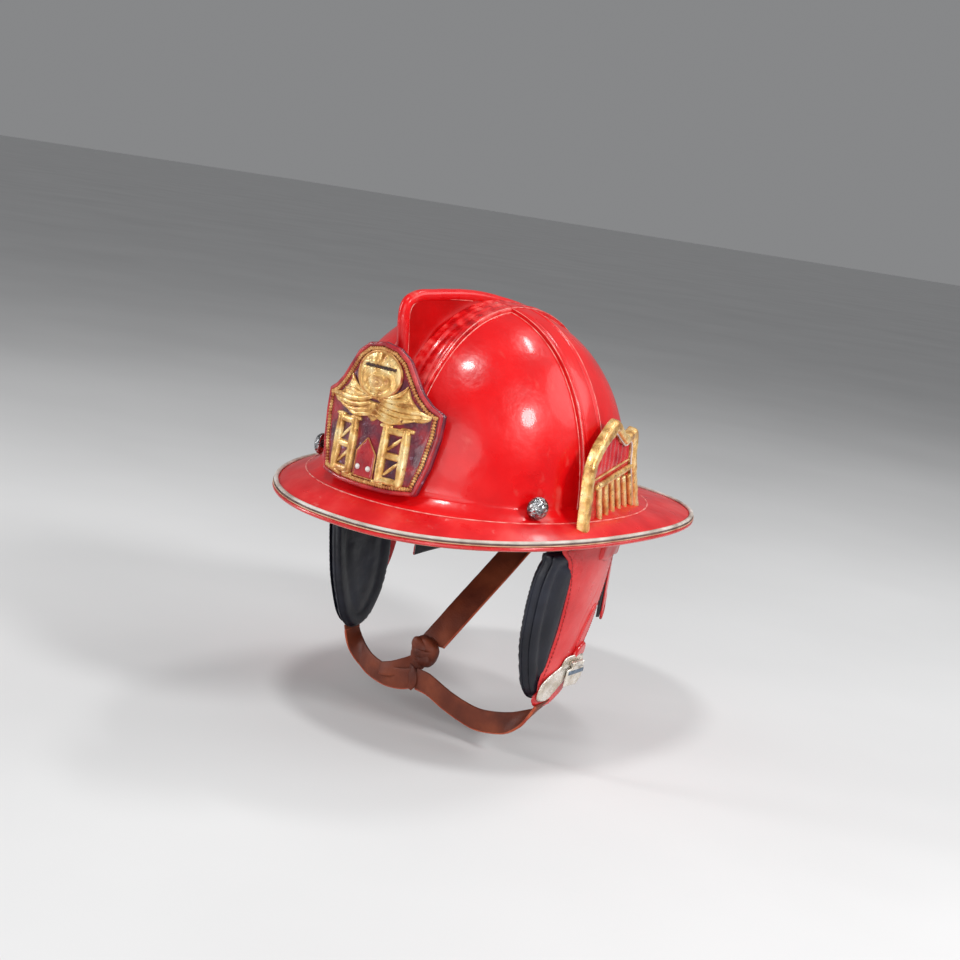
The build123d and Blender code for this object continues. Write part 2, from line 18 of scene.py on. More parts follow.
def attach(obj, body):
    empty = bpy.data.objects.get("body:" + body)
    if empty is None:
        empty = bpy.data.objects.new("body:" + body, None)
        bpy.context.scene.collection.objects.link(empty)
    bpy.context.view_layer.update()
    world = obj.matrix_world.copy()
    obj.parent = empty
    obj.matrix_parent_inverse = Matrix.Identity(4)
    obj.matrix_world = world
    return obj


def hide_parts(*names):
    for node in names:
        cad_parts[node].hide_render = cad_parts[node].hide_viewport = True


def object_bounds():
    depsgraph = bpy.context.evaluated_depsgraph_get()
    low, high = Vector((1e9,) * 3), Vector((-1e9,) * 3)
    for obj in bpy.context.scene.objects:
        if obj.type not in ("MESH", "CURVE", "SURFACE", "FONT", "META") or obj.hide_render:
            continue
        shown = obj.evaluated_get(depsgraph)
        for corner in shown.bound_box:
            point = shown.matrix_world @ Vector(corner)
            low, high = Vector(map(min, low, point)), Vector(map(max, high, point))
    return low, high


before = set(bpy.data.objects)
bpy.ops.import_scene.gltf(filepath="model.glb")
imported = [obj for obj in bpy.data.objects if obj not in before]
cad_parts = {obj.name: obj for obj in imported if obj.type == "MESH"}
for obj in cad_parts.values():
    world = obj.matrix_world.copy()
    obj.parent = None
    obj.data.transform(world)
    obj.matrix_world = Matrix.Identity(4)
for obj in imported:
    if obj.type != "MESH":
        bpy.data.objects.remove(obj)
cad_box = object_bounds()
MM = 0.001

# %% [markdown]
# ## Camera
# A portrait lens from the wearer's front left, a little above the brim.
# The head of the camera is rolled a few degrees, so the helmet sits with its brim dipping to the front.
# The camera is built from three directions (right, up, back) instead of angles,
# which keeps the roll easy to read.

# %% Camera
VIEW_TURN = math.radians(36.3)
VIEW_RISE = math.radians(10.94)
VIEW_ROLL = math.radians(8.87)
VIEW_DISTANCE = 1.1864
LENS, SENSOR_WIDTH = 55.97, 36
LENS_SHIFT = (0.0014, 0.0129)

back = Vector((
    math.sin(VIEW_TURN) * math.cos(VIEW_RISE),
    -math.cos(VIEW_TURN) * math.cos(VIEW_RISE),
    math.sin(VIEW_RISE),
))
level = Vector((math.cos(VIEW_TURN), math.sin(VIEW_TURN), 0))
upright = back.cross(level)
right = level * math.cos(VIEW_ROLL) + upright * math.sin(VIEW_ROLL)
upward = upright * math.cos(VIEW_ROLL) - level * math.sin(VIEW_ROLL)

camera = bpy.data.objects.new("camera", bpy.data.cameras.new("camera"))
facing_way = Matrix((right, upward, back)).transposed().to_4x4()
camera.matrix_world = Matrix.Translation(back * VIEW_DISTANCE) @ facing_way
camera.data.lens = LENS
camera.data.sensor_width = SENSOR_WIDTH
camera.data.shift_x, camera.data.shift_y = LENS_SHIFT
camera.data.clip_start = 0.05
bpy.context.scene.collection.objects.link(camera)
bpy.context.scene.camera = camera
print("camera at", [round(v, 3) for v in camera.location])

# %% [markdown]
# ## Studio
# Gloss is only as good as what it reflects, so the light comes from a few large soft panels.
# One panel could do it with a bounce card,
# but several give the separate highlights that show a dome is round.
# A plain pale floor lies just under the strap, and the world is a quiet grey fill.

# %% Studio lights, floor and world
def panel(name, place, aim, size, power, tint=(1, 1, 1)):
    """Soft rectangular light at a place, turned to its aim."""
    lamp = bpy.data.lights.new(name, "AREA")
    lamp.shape = "ELLIPSE"
    lamp.size, lamp.size_y = size
    lamp.energy = power
    lamp.color = tint
    stand = bpy.data.objects.new(name, lamp)
    stand.location = place
    stand.rotation_euler = (Vector(aim) - Vector(place)).to_track_quat("-Z", "Y").to_euler()
    bpy.context.scene.collection.objects.link(stand)
    return stand


panel("key_panel", (1.58, -0.03, 1.08), (0.03, 0, 0.02), (0.42, 0.34), 17)
panel("front_panel", (0.14, -0.75, 1.81), (0, 0, 0.02), (0.3, 0.22), 11)
panel("streak_panel", (0.28, 0.85, 1.68), (0, 0, 0.1), (0.5, 0.12), 6)
panel("rim_panel", (1.5, 1.6, 1.5), (0, 0, 0.05), (1.8, 1.4), 17)
panel("camera_side", (0.9, -1.7, 0.6), (0, 0, 0), (1.4, 1.0), 9)
panel("left_strip", (-1.4, -0.9, 0.5), (0, 0, 0), (0.25, 1.0), 9)
panel("low_fill", (0.5, -1.5, -0.1), (0, 0, -0.1), (1.2, 0.15), 3)

FLOOR_GAP = 0.012
FLOOR_REACH = 60.0
FILL_COLOUR, FILL_STRENGTH = (0.93, 0.94, 0.96, 1), 0.26

floor_z = cad_box[0].z - FLOOR_GAP
floor_mesh = bpy.data.meshes.new("floor")
signs = [(-1, -1), (1, -1), (1, 1), (-1, 1)]
floor_mesh.from_pydata([(a * FLOOR_REACH, b * FLOOR_REACH, floor_z) for a, b in signs], [], [(0, 1, 2, 3)])
floor = bpy.data.objects.new("floor", floor_mesh)
bpy.context.scene.collection.objects.link(floor)

world = bpy.data.worlds.new("studio")
bpy.context.scene.world = world
world.use_nodes = True
world.node_tree.nodes["Background"].inputs["Color"].default_value = FILL_COLOUR
world.node_tree.nodes["Background"].inputs["Strength"].default_value = FILL_STRENGTH
bpy.context.scene.view_settings.view_transform = "Standard"
print("floor at", round(floor_z, 3))

# %% [markdown]
# ## Mesh helpers
# Nearly every piece here is a sheet or a tube, so two helpers make most of them.
# `skin` turns rows of points into a closed or open surface; `strand` sweeps an oval section along a line.
# Making rows in numpy and joining them once is much faster than adding faces one by one.

# %% Mesh helpers
def make_piece(name, solid, body, material, stands_for=()):
    """Makes a mesh object from (points in mm, faces), rides it on a body and gives it a finish."""
    points, faces = solid
    mesh = bpy.data.meshes.new(name)
    mesh.from_pydata([tuple(p) for p in np.asarray(points, float) * MM], [], [tuple(f) for f in faces])
    mesh.validate()
    work = bmesh.new()
    work.from_mesh(mesh)
    bmesh.ops.recalc_face_normals(work, faces=work.faces)
    work.to_mesh(mesh)
    work.free()
    mesh.polygons.foreach_set("use_smooth", [True] * len(mesh.polygons))
    piece = bpy.data.objects.new(name, mesh)
    bpy.context.scene.collection.objects.link(piece)
    for finish in material if isinstance(material, (list, tuple)) else [material]:
        mesh.materials.append(finish)
    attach(piece, body)
    if stands_for:
        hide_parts(*stands_for)
    return piece


def skin(rows, round_rows=True, round_columns=False, caps=True):
    """Points and faces of a surface through rows of points; rows may close on themselves."""
    rows = np.asarray(rows, float)
    count, width = rows.shape[:2]
    faces = []
    for i in range(count if round_columns else count - 1):
        here, there = i * width, (i + 1) % count * width
        for j in range(width if round_rows else width - 1):
            k = (j + 1) % width
            faces.append((here + j, here + k, there + k, there + j))
    if caps and round_rows and not round_columns:
        faces.append(tuple(range(width - 1, -1, -1)))
        faces.append(tuple(range((count - 1) * width, count * width)))
    return rows.reshape(-1, 3), faces


def join_parts(parts):
    """Joins several (points, faces) into one."""
    points, faces, start = [], [], 0
    for part_points, part_faces in parts:
        points.append(np.asarray(part_points, float))
        faces += [tuple(v + start for v in face) for face in part_faces]
        start += len(part_points)
    return np.concatenate(points), faces


def between(a, b, c, d, t):
    """Point at share t from b to c on the smooth line through four points."""
    return 0.5 * (2 * b + (c - a) * t + (2 * a - 5 * b + 4 * c - d) * t * t
                  + (3 * b - a - 3 * c + d) * t ** 3)


def smooth_path(points, count):
    """Even points on a rounded line through a few given ones."""
    points = np.asarray(points, float)
    padded = np.vstack([2 * points[0] - points[1], points, 2 * points[-1] - points[-2]])
    fine = []
    for a, b, c, d in zip(padded, padded[1:], padded[2:], padded[3:]):
        for t in np.linspace(0, 1, 24, endpoint=False):
            fine.append(between(a, b, c, d, t))
    fine.append(points[-1])
    return even_path(fine, count)


def even_path(points, count):
    """The same line with count evenly spaced points."""
    points = np.asarray(points, float)
    steps = np.r_[0, np.cumsum(np.linalg.norm(np.diff(points, axis=0), axis=1))]
    marks = np.linspace(0, steps[-1], count)
    return np.column_stack([np.interp(marks, steps, points[:, axis]) for axis in range(points.shape[1])])


def closed_path(loop, count):
    """Even points round an outline, with the first again at the end."""
    return even_path(np.vstack([loop, loop[:1]]), count)


def unit(v):
    return v / np.maximum(np.linalg.norm(v, axis=-1, keepdims=True), 1e-12)


def strand(path, widths, heights, ups, sides=12, square=1.0):
    """Rows of an oval tube along a path: widths across, heights along ups, flattened by square under 1."""
    path = np.asarray(path, float)
    along = unit(np.gradient(path, axis=0))
    ups = np.broadcast_to(np.asarray(ups, float), path.shape)
    across = unit(np.cross(along, ups))
    ups = unit(np.cross(across, along))
    turns = np.linspace(0, 2 * math.pi, sides, endpoint=False)
    c = np.sign(np.cos(turns)) * np.abs(np.cos(turns)) ** square
    s = np.sign(np.sin(turns)) * np.abs(np.sin(turns)) ** square
    w = np.broadcast_to(np.asarray(widths, float), len(path))[:, None, None] / 2
    h = np.broadcast_to(np.asarray(heights, float), len(path))[:, None, None] / 2
    return path[:, None] + across[:, None] * w * c[None, :, None] + ups[:, None] * h * s[None, :, None]


def round_tube(path, *shape):
    """Closed tube along a path whose last point is its first."""
    return skin(strand(path, *shape)[:-1], round_columns=True)


def rough_field(points, size, seed=0.0):
    """Smooth random heights from -1 to 1, about size across, one for each point."""
    shift = Vector((seed * 3.1, seed * 1.7, seed * 2.3))
    flat = np.asarray(points, float).reshape(-1, 3)
    heights = [noise.noise(Vector(p) / size + shift) for p in flat]
    return np.array(heights).reshape(np.asarray(points).shape[:-1])


def step_up(low, high, value):
    """0 below low, 1 above high, and a smooth rise between."""
    t = np.clip((value - low) / (high - low), 0, 1)
    return t * t * (3 - 2 * t)


def sided(solid, place):
    """A solid made for the wearer's left, or its mirror image for the right."""
    points, faces = solid
    return (points, faces) if place == "left" else (np.asarray(points, float) * np.array([-1, 1, 1]), faces)


print("helpers ready")

# %% [markdown]
# ## Finishes
# A believable finish is a base colour that is never quite even, a roughness that varies, and a fine relief.
# One maker function lays those three over the standard shader: blotches,
# a roughness range and a list of bumps.
# Values that don't vary, such as coat or metal, are set on the shader's own sockets.

# %% Finish maker
STRETCHES = {"grain": (1, 1, 0.12), "scratches": (0.06, 1, 0.5), "lengthways": (1, 0.08, 0.12)}


def finish(name, tones, blotch=0.02, roughness=(0.3, 0.5), bumps=(), metallic=0.0, coat=0.0,
           coat_roughness=0.05,
           sheen=0.0, worn=None, specular=0.5):
    """Procedural finish. tones: darkest to lightest; bumps: (kind, size, depth); worn: (colour, amount)."""
    material = bpy.data.materials.new(name)
    material.use_nodes = True
    tree = material.node_tree
    shader = tree.nodes["Principled BSDF"]
    shader.inputs["Metallic"].default_value = metallic
    shader.inputs["Coat Weight"].default_value = coat
    shader.inputs["Coat Roughness"].default_value = coat_roughness
    shader.inputs["Sheen Weight"].default_value = sheen
    shader.inputs["Specular IOR Level"].default_value = specular
    where = tree.nodes.new("ShaderNodeTexCoord").outputs["Object"]

    def texture(kind, size, detail=4.0):
        node = tree.nodes.new("ShaderNodeTexVoronoi" if kind == "cells" else "ShaderNodeTexNoise")
        node.inputs["Scale"].default_value = 1 / size
        if kind == "cells":
            tree.links.new(where, node.inputs["Vector"])
            return node.outputs["Distance"]
        node.inputs["Detail"].default_value = detail
        stretch = STRETCHES.get(kind)
        if stretch:
            mapping = tree.nodes.new("ShaderNodeMapping")
            mapping.inputs["Scale"].default_value = stretch
            tree.links.new(where, mapping.inputs["Vector"])
            tree.links.new(mapping.outputs["Vector"], node.inputs["Vector"])
        else:
            tree.links.new(where, node.inputs["Vector"])
        return node.outputs["Fac"]

    ramp = tree.nodes.new("ShaderNodeValToRGB")
    for index, tone in enumerate(tones):
        place = 0.3 + 0.4 * index / max(len(tones) - 1, 1)
        stop = ramp.color_ramp.elements[index] if index < 2 else ramp.color_ramp.elements.new(place)
        stop.position = place
        stop.color = (*tone, 1)
    tree.links.new(texture("noise", blotch), ramp.inputs["Fac"])
    colour = ramp.outputs["Color"]
    if worn:
        edge = tree.nodes.new("ShaderNodeValToRGB")
        edge.color_ramp.elements[0].position = 1 - worn[1]
        edge.color_ramp.elements[1].position = min(1.0, 1 - worn[1] + 0.08)
        wear_kind = worn[2] if len(worn) > 2 else "noise"
        tree.links.new(texture(wear_kind, blotch * 0.35, 8.0), edge.inputs["Fac"])
        mix = tree.nodes.new("ShaderNodeMix")
        mix.data_type = "RGBA"
        tree.links.new(edge.outputs["Color"], mix.inputs["Factor"])
        tree.links.new(colour, mix.inputs["A"])
        mix.inputs["B"].default_value = (*worn[0], 1)
        colour = mix.outputs["Result"]
    tree.links.new(colour, shader.inputs["Base Color"])

    spread = tree.nodes.new("ShaderNodeMapRange")
    spread.inputs["From Min"].default_value = 0.3
    spread.inputs["From Max"].default_value = 0.7
    spread.inputs["To Min"].default_value = roughness[0]
    spread.inputs["To Max"].default_value = roughness[1]
    tree.links.new(texture("noise", blotch * 0.6), spread.inputs["Value"])
    tree.links.new(spread.outputs["Result"], shader.inputs["Roughness"])

    normal = None
    for kind, size, depth in bumps:
        bump = tree.nodes.new("ShaderNodeBump")
        bump.inputs["Distance"].default_value = depth
        tree.links.new(texture(kind, size), bump.inputs["Height"])
        if normal:
            tree.links.new(normal, bump.inputs["Normal"])
        normal = bump.outputs["Normal"]
    if normal:
        tree.links.new(normal, shader.inputs["Normal"])
    return material


# %% [markdown]
# Now the finishes themselves, named for what they cover.
# Lacquer is a smooth red under a clear coat with hair scratches; leather is fine cells under soft creases.
# Gold paint is a worn metal with brown in its hollows, and the knobs are bright with dents in the mesh.

# %% The helmet's finishes
lacquer = finish(
    "red_lacquer", [(0.54, 0.0, 0.002), (0.68, 0.001, 0.003), (0.76, 0.006, 0.007)], blotch=0.05,
    roughness=(0.24, 0.42), coat=0.3, coat_roughness=0.1, specular=0.3,
    worn=((0.66, 0.05, 0.04), 0.36, "scratches"),
    bumps=[("noise", 0.025, 0.0011), ("noise", 0.006, 0.00012), ("scratches", 0.004, 0.00005)])
folded_red = finish(
    "folded_red", [(0.34, 0.0, 0.002), (0.66, 0.004, 0.006), (0.80, 0.09, 0.08)], blotch=0.009,
    roughness=(0.22, 0.42), coat=0.35, coat_roughness=0.12, specular=0.35,
    bumps=[("lengthways", 0.0045, 0.0009), ("noise", 0.02, 0.0003)])
comb_red = finish(
    "comb_red", [(0.40, 0.0, 0.0), (0.54, 0.0, 0.001)], blotch=0.03, roughness=(0.34, 0.5), specular=0.15,
    bumps=[("noise", 0.02, 0.0008), ("grain", 0.005, 0.0002)])
brim_red = finish(
    "brim_red", [(0.56, 0.003, 0.006), (0.68, 0.012, 0.014), (0.76, 0.05, 0.045)], blotch=0.03,
    roughness=(0.26, 0.44), coat=0.25, coat_roughness=0.14, specular=0.3, worn=((0.70, 0.16, 0.14), 0.31),
    bumps=[("noise", 0.012, 0.0003), ("scratches", 0.003, 0.00004)])
worn_ridge = finish(
    "worn_ridge", [(0.62, 0.03, 0.03), (0.78, 0.20, 0.17), (0.86, 0.42, 0.36)], blotch=0.006,
    roughness=(0.3, 0.5), bumps=[("noise", 0.002, 0.0002)])
under_red = finish(
    "under_red", [(0.30, 0.004, 0.005), (0.42, 0.008, 0.01)], blotch=0.03, roughness=(0.35, 0.5),
    bumps=[("noise", 0.006, 0.0002)])
piping_pale = finish(
    "piping_pale", [(0.30, 0.24, 0.20), (0.56, 0.50, 0.44), (0.72, 0.68, 0.64)], blotch=0.02,
    roughness=(0.4, 0.6), bumps=[("noise", 0.003, 0.0003)])
piping_tan = finish(
    "piping_tan", [(0.42, 0.12, 0.06), (0.58, 0.34, 0.20), (0.70, 0.50, 0.34)], blotch=0.02,
    roughness=(0.35, 0.55), bumps=[("noise", 0.003, 0.0003)])
piping_dark = finish(
    "piping_dark", [(0.05, 0.02, 0.02), (0.16, 0.08, 0.07)], blotch=0.01, roughness=(0.5, 0.7),
    bumps=[("noise", 0.002, 0.0002)])
bumper_red = finish(
    "bumper_red", [(0.50, 0.004, 0.006), (0.66, 0.02, 0.02)], blotch=0.02, roughness=(0.2, 0.35), coat=0.5,
    bumps=[("noise", 0.004, 0.0002)])
shield_red = finish(
    "shield_red", [(0.18, 0.004, 0.014), (0.38, 0.006, 0.014), (0.52, 0.03, 0.03)], blotch=0.012,
    roughness=(0.25, 0.45), coat=0.35, bumps=[("cells", 0.0016, 0.00015), ("noise", 0.006, 0.0004)])
shield_patina = finish(
    "shield_patina", [(0.035, 0.010, 0.024), (0.13, 0.012, 0.03), (0.34, 0.012, 0.022)], blotch=0.014,
    roughness=(0.25, 0.5), coat=0.3, worn=((0.30, 0.20, 0.30), 0.36),
    bumps=[("cells", 0.0016, 0.0002), ("noise", 0.005, 0.0006)])
gold = finish(
    "aged_gold", [(0.40, 0.15, 0.03), (0.80, 0.48, 0.15), (0.95, 0.74, 0.38)], blotch=0.009,
    roughness=(0.22, 0.42), metallic=0.45, coat=0.3, worn=((0.20, 0.05, 0.02), 0.36),
    bumps=[("noise", 0.0035, 0.0006), ("noise", 0.001, 0.0001)])
gold_rope = finish(
    "rope_gold", [(0.34, 0.05, 0.02), (0.56, 0.27, 0.08), (0.74, 0.48, 0.20)], blotch=0.006,
    roughness=(0.3, 0.5), metallic=0.35, bumps=[("noise", 0.002, 0.0003)])
slit_dark = finish(
    "slit_dark", [(0.02, 0.008, 0.006), (0.08, 0.03, 0.02)], blotch=0.004, roughness=(0.5, 0.7),
    bumps=[("noise", 0.002, 0.0002)])
rose_brown = finish(
    "rose_brown", [(0.40, 0.17, 0.05), (0.62, 0.34, 0.12), (0.76, 0.50, 0.24)], blotch=0.005,
    roughness=(0.35, 0.5), metallic=0.2, bumps=[("noise", 0.002, 0.0005)])
badge_red = finish(
    "badge_enamel", [(0.34, 0.002, 0.01), (0.55, 0.006, 0.014), (0.68, 0.03, 0.03)], blotch=0.014,
    roughness=(0.12, 0.3), coat=0.6, bumps=[("grain", 0.008, 0.0008)])
rivet_white = finish(
    "rivet_enamel", [(0.62, 0.58, 0.56), (0.86, 0.84, 0.80)], blotch=0.003, roughness=(0.2, 0.4), coat=0.3,
    bumps=[("noise", 0.001, 0.0001)])
hammered = finish(
    "hammered_silver", [(0.10, 0.10, 0.11), (0.30, 0.30, 0.31), (0.62, 0.62, 0.62)], blotch=0.003,
    roughness=(0.14, 0.3), metallic=1.0, bumps=[("cells", 0.0022, 0.0007), ("noise", 0.0015, 0.0004)])
steel = finish(
    "zinc_steel", [(0.30, 0.30, 0.31), (0.46, 0.46, 0.47)], blotch=0.01, roughness=(0.3, 0.5), metallic=1.0,
    bumps=[("grain", 0.003, 0.0001)])
clasp_metal = finish(
    "clasp_metal", [(0.50, 0.43, 0.33), (0.72, 0.66, 0.58), (0.88, 0.86, 0.80)], blotch=0.008,
    roughness=(0.2, 0.38), metallic=0.7, coat=0.3, bumps=[("noise", 0.006, 0.0005)])
pad_vinyl = finish(
    "pad_vinyl", [(0.004, 0.005, 0.010), (0.009, 0.010, 0.018), (0.016, 0.019, 0.032)], blotch=0.03,
    roughness=(0.3, 0.42), coat=0.08, coat_roughness=0.25, specular=0.32,
    bumps=[("noise", 0.012, 0.0006), ("cells", 0.0012, 0.00005)])
cover_leather = finish(
    "cover_leather", [(0.50, 0.004, 0.007), (0.62, 0.02, 0.022), (0.70, 0.06, 0.06)], blotch=0.035,
    roughness=(0.26, 0.42), coat=0.2, specular=0.35, coat_roughness=0.15,
    bumps=[("cells", 0.0014, 0.00006), ("noise", 0.014, 0.0007)])
stitch_thread = finish(
    "stitch_thread", [(0.30, 0.01, 0.015), (0.46, 0.03, 0.03)], blotch=0.002, roughness=(0.5, 0.7),
    bumps=[("noise", 0.0006, 0.0001)])
strap_leather = finish(
    "strap_leather", [(0.085, 0.018, 0.010), (0.17, 0.036, 0.016), (0.28, 0.065, 0.026)], blotch=0.03,
    roughness=(0.42, 0.6), specular=0.3, bumps=[("cells", 0.0013, 0.0001), ("noise", 0.009, 0.0005)])
strap_edge = finish(
    "strap_edge", [(0.34, 0.035, 0.010), (0.52, 0.10, 0.028)], blotch=0.012, roughness=(0.35, 0.55),
    bumps=[("noise", 0.002, 0.0002)])
lining_cloth = finish(
    "lining_cloth", [(0.012, 0.012, 0.016), (0.03, 0.03, 0.036)], blotch=0.02, roughness=(0.7, 0.85),
    sheen=0.3, bumps=[("cells", 0.0012, 0.0003)])
webbing = finish(
    "harness_webbing", [(0.02, 0.02, 0.024), (0.05, 0.05, 0.056)], blotch=0.01, roughness=(0.65, 0.8),
    sheen=0.2, bumps=[("cells", 0.0016, 0.0005)])
nylon = finish(
    "moulded_nylon", [(0.018, 0.018, 0.02), (0.04, 0.04, 0.044)], blotch=0.02, roughness=(0.4, 0.55),
    bumps=[("noise", 0.0008, 0.00006)])
foam = finish(
    "liner_foam", [(0.03, 0.03, 0.033), (0.07, 0.07, 0.074)], blotch=0.015, roughness=(0.75, 0.9),
    bumps=[("cells", 0.0028, 0.0005)])
brow_leather = finish(
    "brow_leather", [(0.10, 0.05, 0.03), (0.19, 0.10, 0.06), (0.27, 0.16, 0.10)], blotch=0.015,
    roughness=(0.5, 0.65), bumps=[("cells", 0.0015, 0.0002)])
paper = finish("studio_floor", [(0.70, 0.70, 0.70), (0.76, 0.76, 0.76)], blotch=0.5, roughness=(0.6, 0.7))
floor.data.materials.append(paper)
print(len(bpy.data.materials), "finishes")

# %% [markdown]
# ## The helmet's mathematics
# The shell is a superellipse turned into a dome, the same rule that the CAD part follows,
# so the surfaces agree.
# `dome_hit` finds where a ray from inside meets the dome: bands,
# seams and the comb's foot are all laid that way.
# A real maker would trace these lines on the mould in pencil.

# %% Dome and brim rules
HALF_WIDTH, FRONT, REAR, HEIGHT = 112.8, 122.0, 129.5, 150.5
CENTRE_Y = -11.5
PLAN, PROFILE = 2.1, 2.2
BRIM_WIDTH, BRIM_LENGTH, BRIM_Y, BRIM_PLAN = 147.0, 185.4, 16.6, 2.28


def power(value, exponent):
    return np.sign(value) * np.abs(value) ** exponent


def oval(turns, width, front, rear, centre_y, exponent):
    """Points of a level superellipse; turn 0 is the front, growing to the wearer's left."""
    c, s = np.cos(turns), np.sin(turns)
    reach = np.where(c > 0, front, rear)
    return width * power(s, 2 / exponent), centre_y - reach * power(c, 2 / exponent)


def dome_ring(turns, z, inset=0.0):
    scale = max(1 - (z / (HEIGHT - inset)) ** PROFILE, 0) ** (1 / PROFILE)
    width, front, rear = ((size - inset) * scale for size in (HALF_WIDTH, FRONT, REAR))
    x, y = oval(turns, width, front, rear, CENTRE_Y, PLAN)
    return np.column_stack([x, y, np.full(len(turns), z)])


def brim_ring(turns, drop, inset):
    x, y = oval(turns, BRIM_WIDTH - inset, BRIM_LENGTH - inset, BRIM_LENGTH - inset, BRIM_Y, BRIM_PLAN)
    return np.column_stack([x, y, -2.4 - 3.3 * np.cos(turns) - 2.9 * np.cos(2 * turns) - drop])


def dome_value(points, inset=0.0):
    """Under 1 inside the dome, over 1 outside."""
    x, y, z = np.moveaxis(points, -1, 0)
    reach = np.where(y < CENTRE_Y, FRONT, REAR) - inset
    plan = (np.abs(x / (HALF_WIDTH - inset)) ** PLAN + np.abs((y - CENTRE_Y) / reach) ** PLAN) ** (1 / PLAN)
    return plan ** PROFILE + np.maximum(z / (HEIGHT - inset), 0) ** PROFILE


def dome_hit(origins, directions, inset=0.0):
    """Where rays from inside meet the dome, and the way out there."""
    origins, directions = np.broadcast_arrays(np.asarray(origins, float), np.asarray(directions, float))
    near = np.zeros(origins.shape[:-1])
    far = np.full(origins.shape[:-1], 320.0)
    for _ in range(36):
        middle = (near + far) / 2
        outside = dome_value(origins + directions * middle[..., None], inset) > 1
        far = np.where(outside, middle, far)
        near = np.where(outside, near, middle)
    hits = origins + directions * near[..., None]
    return hits, dome_normals(hits, inset)


def dome_normals(points, inset=0.0):
    steps = np.eye(3) * 0.05
    slopes = [dome_value(points + step, inset) - dome_value(points - step, inset) for step in steps]
    return unit(np.stack(slopes, axis=-1))


print("dome top at", HEIGHT, "mm")

# %% [markdown]
# ## Shell
# One skin runs from the crown down the wall, out over the flare, along the flat brim,
# round the edge and back inside.
# On the real helmet this is one moulding, so making it as one surface keeps the highlights unbroken.
# A shallow, slow ripple in the skin stops the lacquer looking like glass.

# %% Shell
CREASE_SHARE, CREASE_DROP = 0.36, 2.0


def crease_ring(foot, edge):
    """Where the flare meets the flat brim, between the dome's foot and the brim's edge."""
    return foot + (edge - foot) * CREASE_SHARE - np.array([0, 0, CREASE_DROP])


turns = np.linspace(0, 2 * math.pi, 360, endpoint=False)
lifts = np.linspace(math.pi / 2 - 0.02, math.asin((16 / HEIGHT) ** (PROFILE / 2)), 76)
rows = [dome_ring(turns, HEIGHT * math.sin(lift) ** (2 / PROFILE)) for lift in lifts]
foot, edge = dome_ring(turns, 16.0), brim_ring(turns, -1.5, 4)
crease = crease_ring(foot, edge)
for t in np.linspace(0, 1, 14)[1:]:
    sag = math.sin(math.pi * t) * 1.4
    rows.append(foot + (crease - foot) * t - np.array([0, 0, sag]) * (1 - 0.5 * t))
for t in np.linspace(0, 1, 18)[1:]:
    rows.append(crease + (edge - crease) * t + np.array([0, 0, 0.7 * math.sin(math.pi * t)]))
rows += [brim_ring(turns, -0.6, 3.2), brim_ring(turns, 0.6, 3.2)]
under_edge, under_foot = brim_ring(turns, 1.5, 4), dome_ring(turns, 13.0, 3.0)
under_crease = crease_ring(under_foot, under_edge)
rows += [under_edge + (under_crease - under_edge) * t for t in np.linspace(0, 1, 8)]
rows += [under_crease + (under_foot - under_crease) * t for t in np.linspace(0, 1, 5)[1:]]
rows += [dome_ring(turns, (HEIGHT - 3) * math.sin(lift) ** (2 / PROFILE), 3.0)
         for lift in np.linspace(0.12, math.pi / 2 - 0.03, 34)]
rows = np.array(rows)
ripple = rough_field(rows[:88], 34.0) * 0.22 + rough_field(rows[:88], 11.0, 4) * 0.05
rows[:88, :, 2] += ripple * 0.5
rows[:88] *= 1 + 0.0016 * rough_field(rows[:88], 26.0, 2)[..., None]
solid = skin(rows)
shell = make_piece("shell_skin", solid, "helmet", [lacquer, brim_red, under_red], ["shell"])
width = len(turns)
for index, polygon in enumerate(shell.data.polygons):
    row = min(polygon.vertices) // width
    if row >= 108:
        polygon.material_index = 2
    elif row >= 88:
        polygon.material_index = 1
print("shell faces", len(shell.data.polygons))

# %% [markdown]
# ## Raised bands
# Two wide bands stiffen the crown: one fore and aft under the comb, one across from ear to ear.
# They are leather-wrapped mouldings, so their edges are rounded and the band beside
# the comb has small folds.
# Each is a grid laid on the dome by rays, which keeps its edges straight; pale worn seams run along them.

# %% Bands over the crown
CROSS_BAND_Y, CROSS_TAPE_Y = -14.0, -5.5


def crown_rays(offsets, angle, along_y, cross_y):
    """Where rays start, and their direction, for one row across a band over the crown."""
    level_line = np.zeros(len(offsets))
    if along_y:
        origins = np.column_stack([offsets, np.full(len(offsets), CENTRE_Y), level_line])
        return origins, np.array([0, -math.cos(angle), math.sin(angle)])
    origins = np.column_stack([level_line, cross_y + offsets, level_line])
    return origins, np.array([math.cos(angle), 0, math.sin(angle)])


def laid_band(lanes, lift_angles, along_y, wrinkle):
    """Rows of a band on the dome. lanes: (offset, height) across; along_y: the band runs fore and aft."""
    offsets = np.array([lane[0] for lane in lanes])
    heights = np.array([lane[1] for lane in lanes])
    grid = []
    for angle in lift_angles:
        hits, outward = dome_hit(*crown_rays(offsets, angle, along_y, CROSS_BAND_Y))
        lengthways = hits * np.array([1, 0.1, 0.1])
        folds = rough_field(lengthways, 3.6, 5) + 0.7 * rough_field(lengthways, 7.0, 9)
        slack = wrinkle * (1 - 0.8 * step_up(1.7, 2.2, angle))
        folds = slack * folds * (heights > 2.4)
        grid.append(hits + outward * (heights + folds)[:, None])
    return np.array(grid)


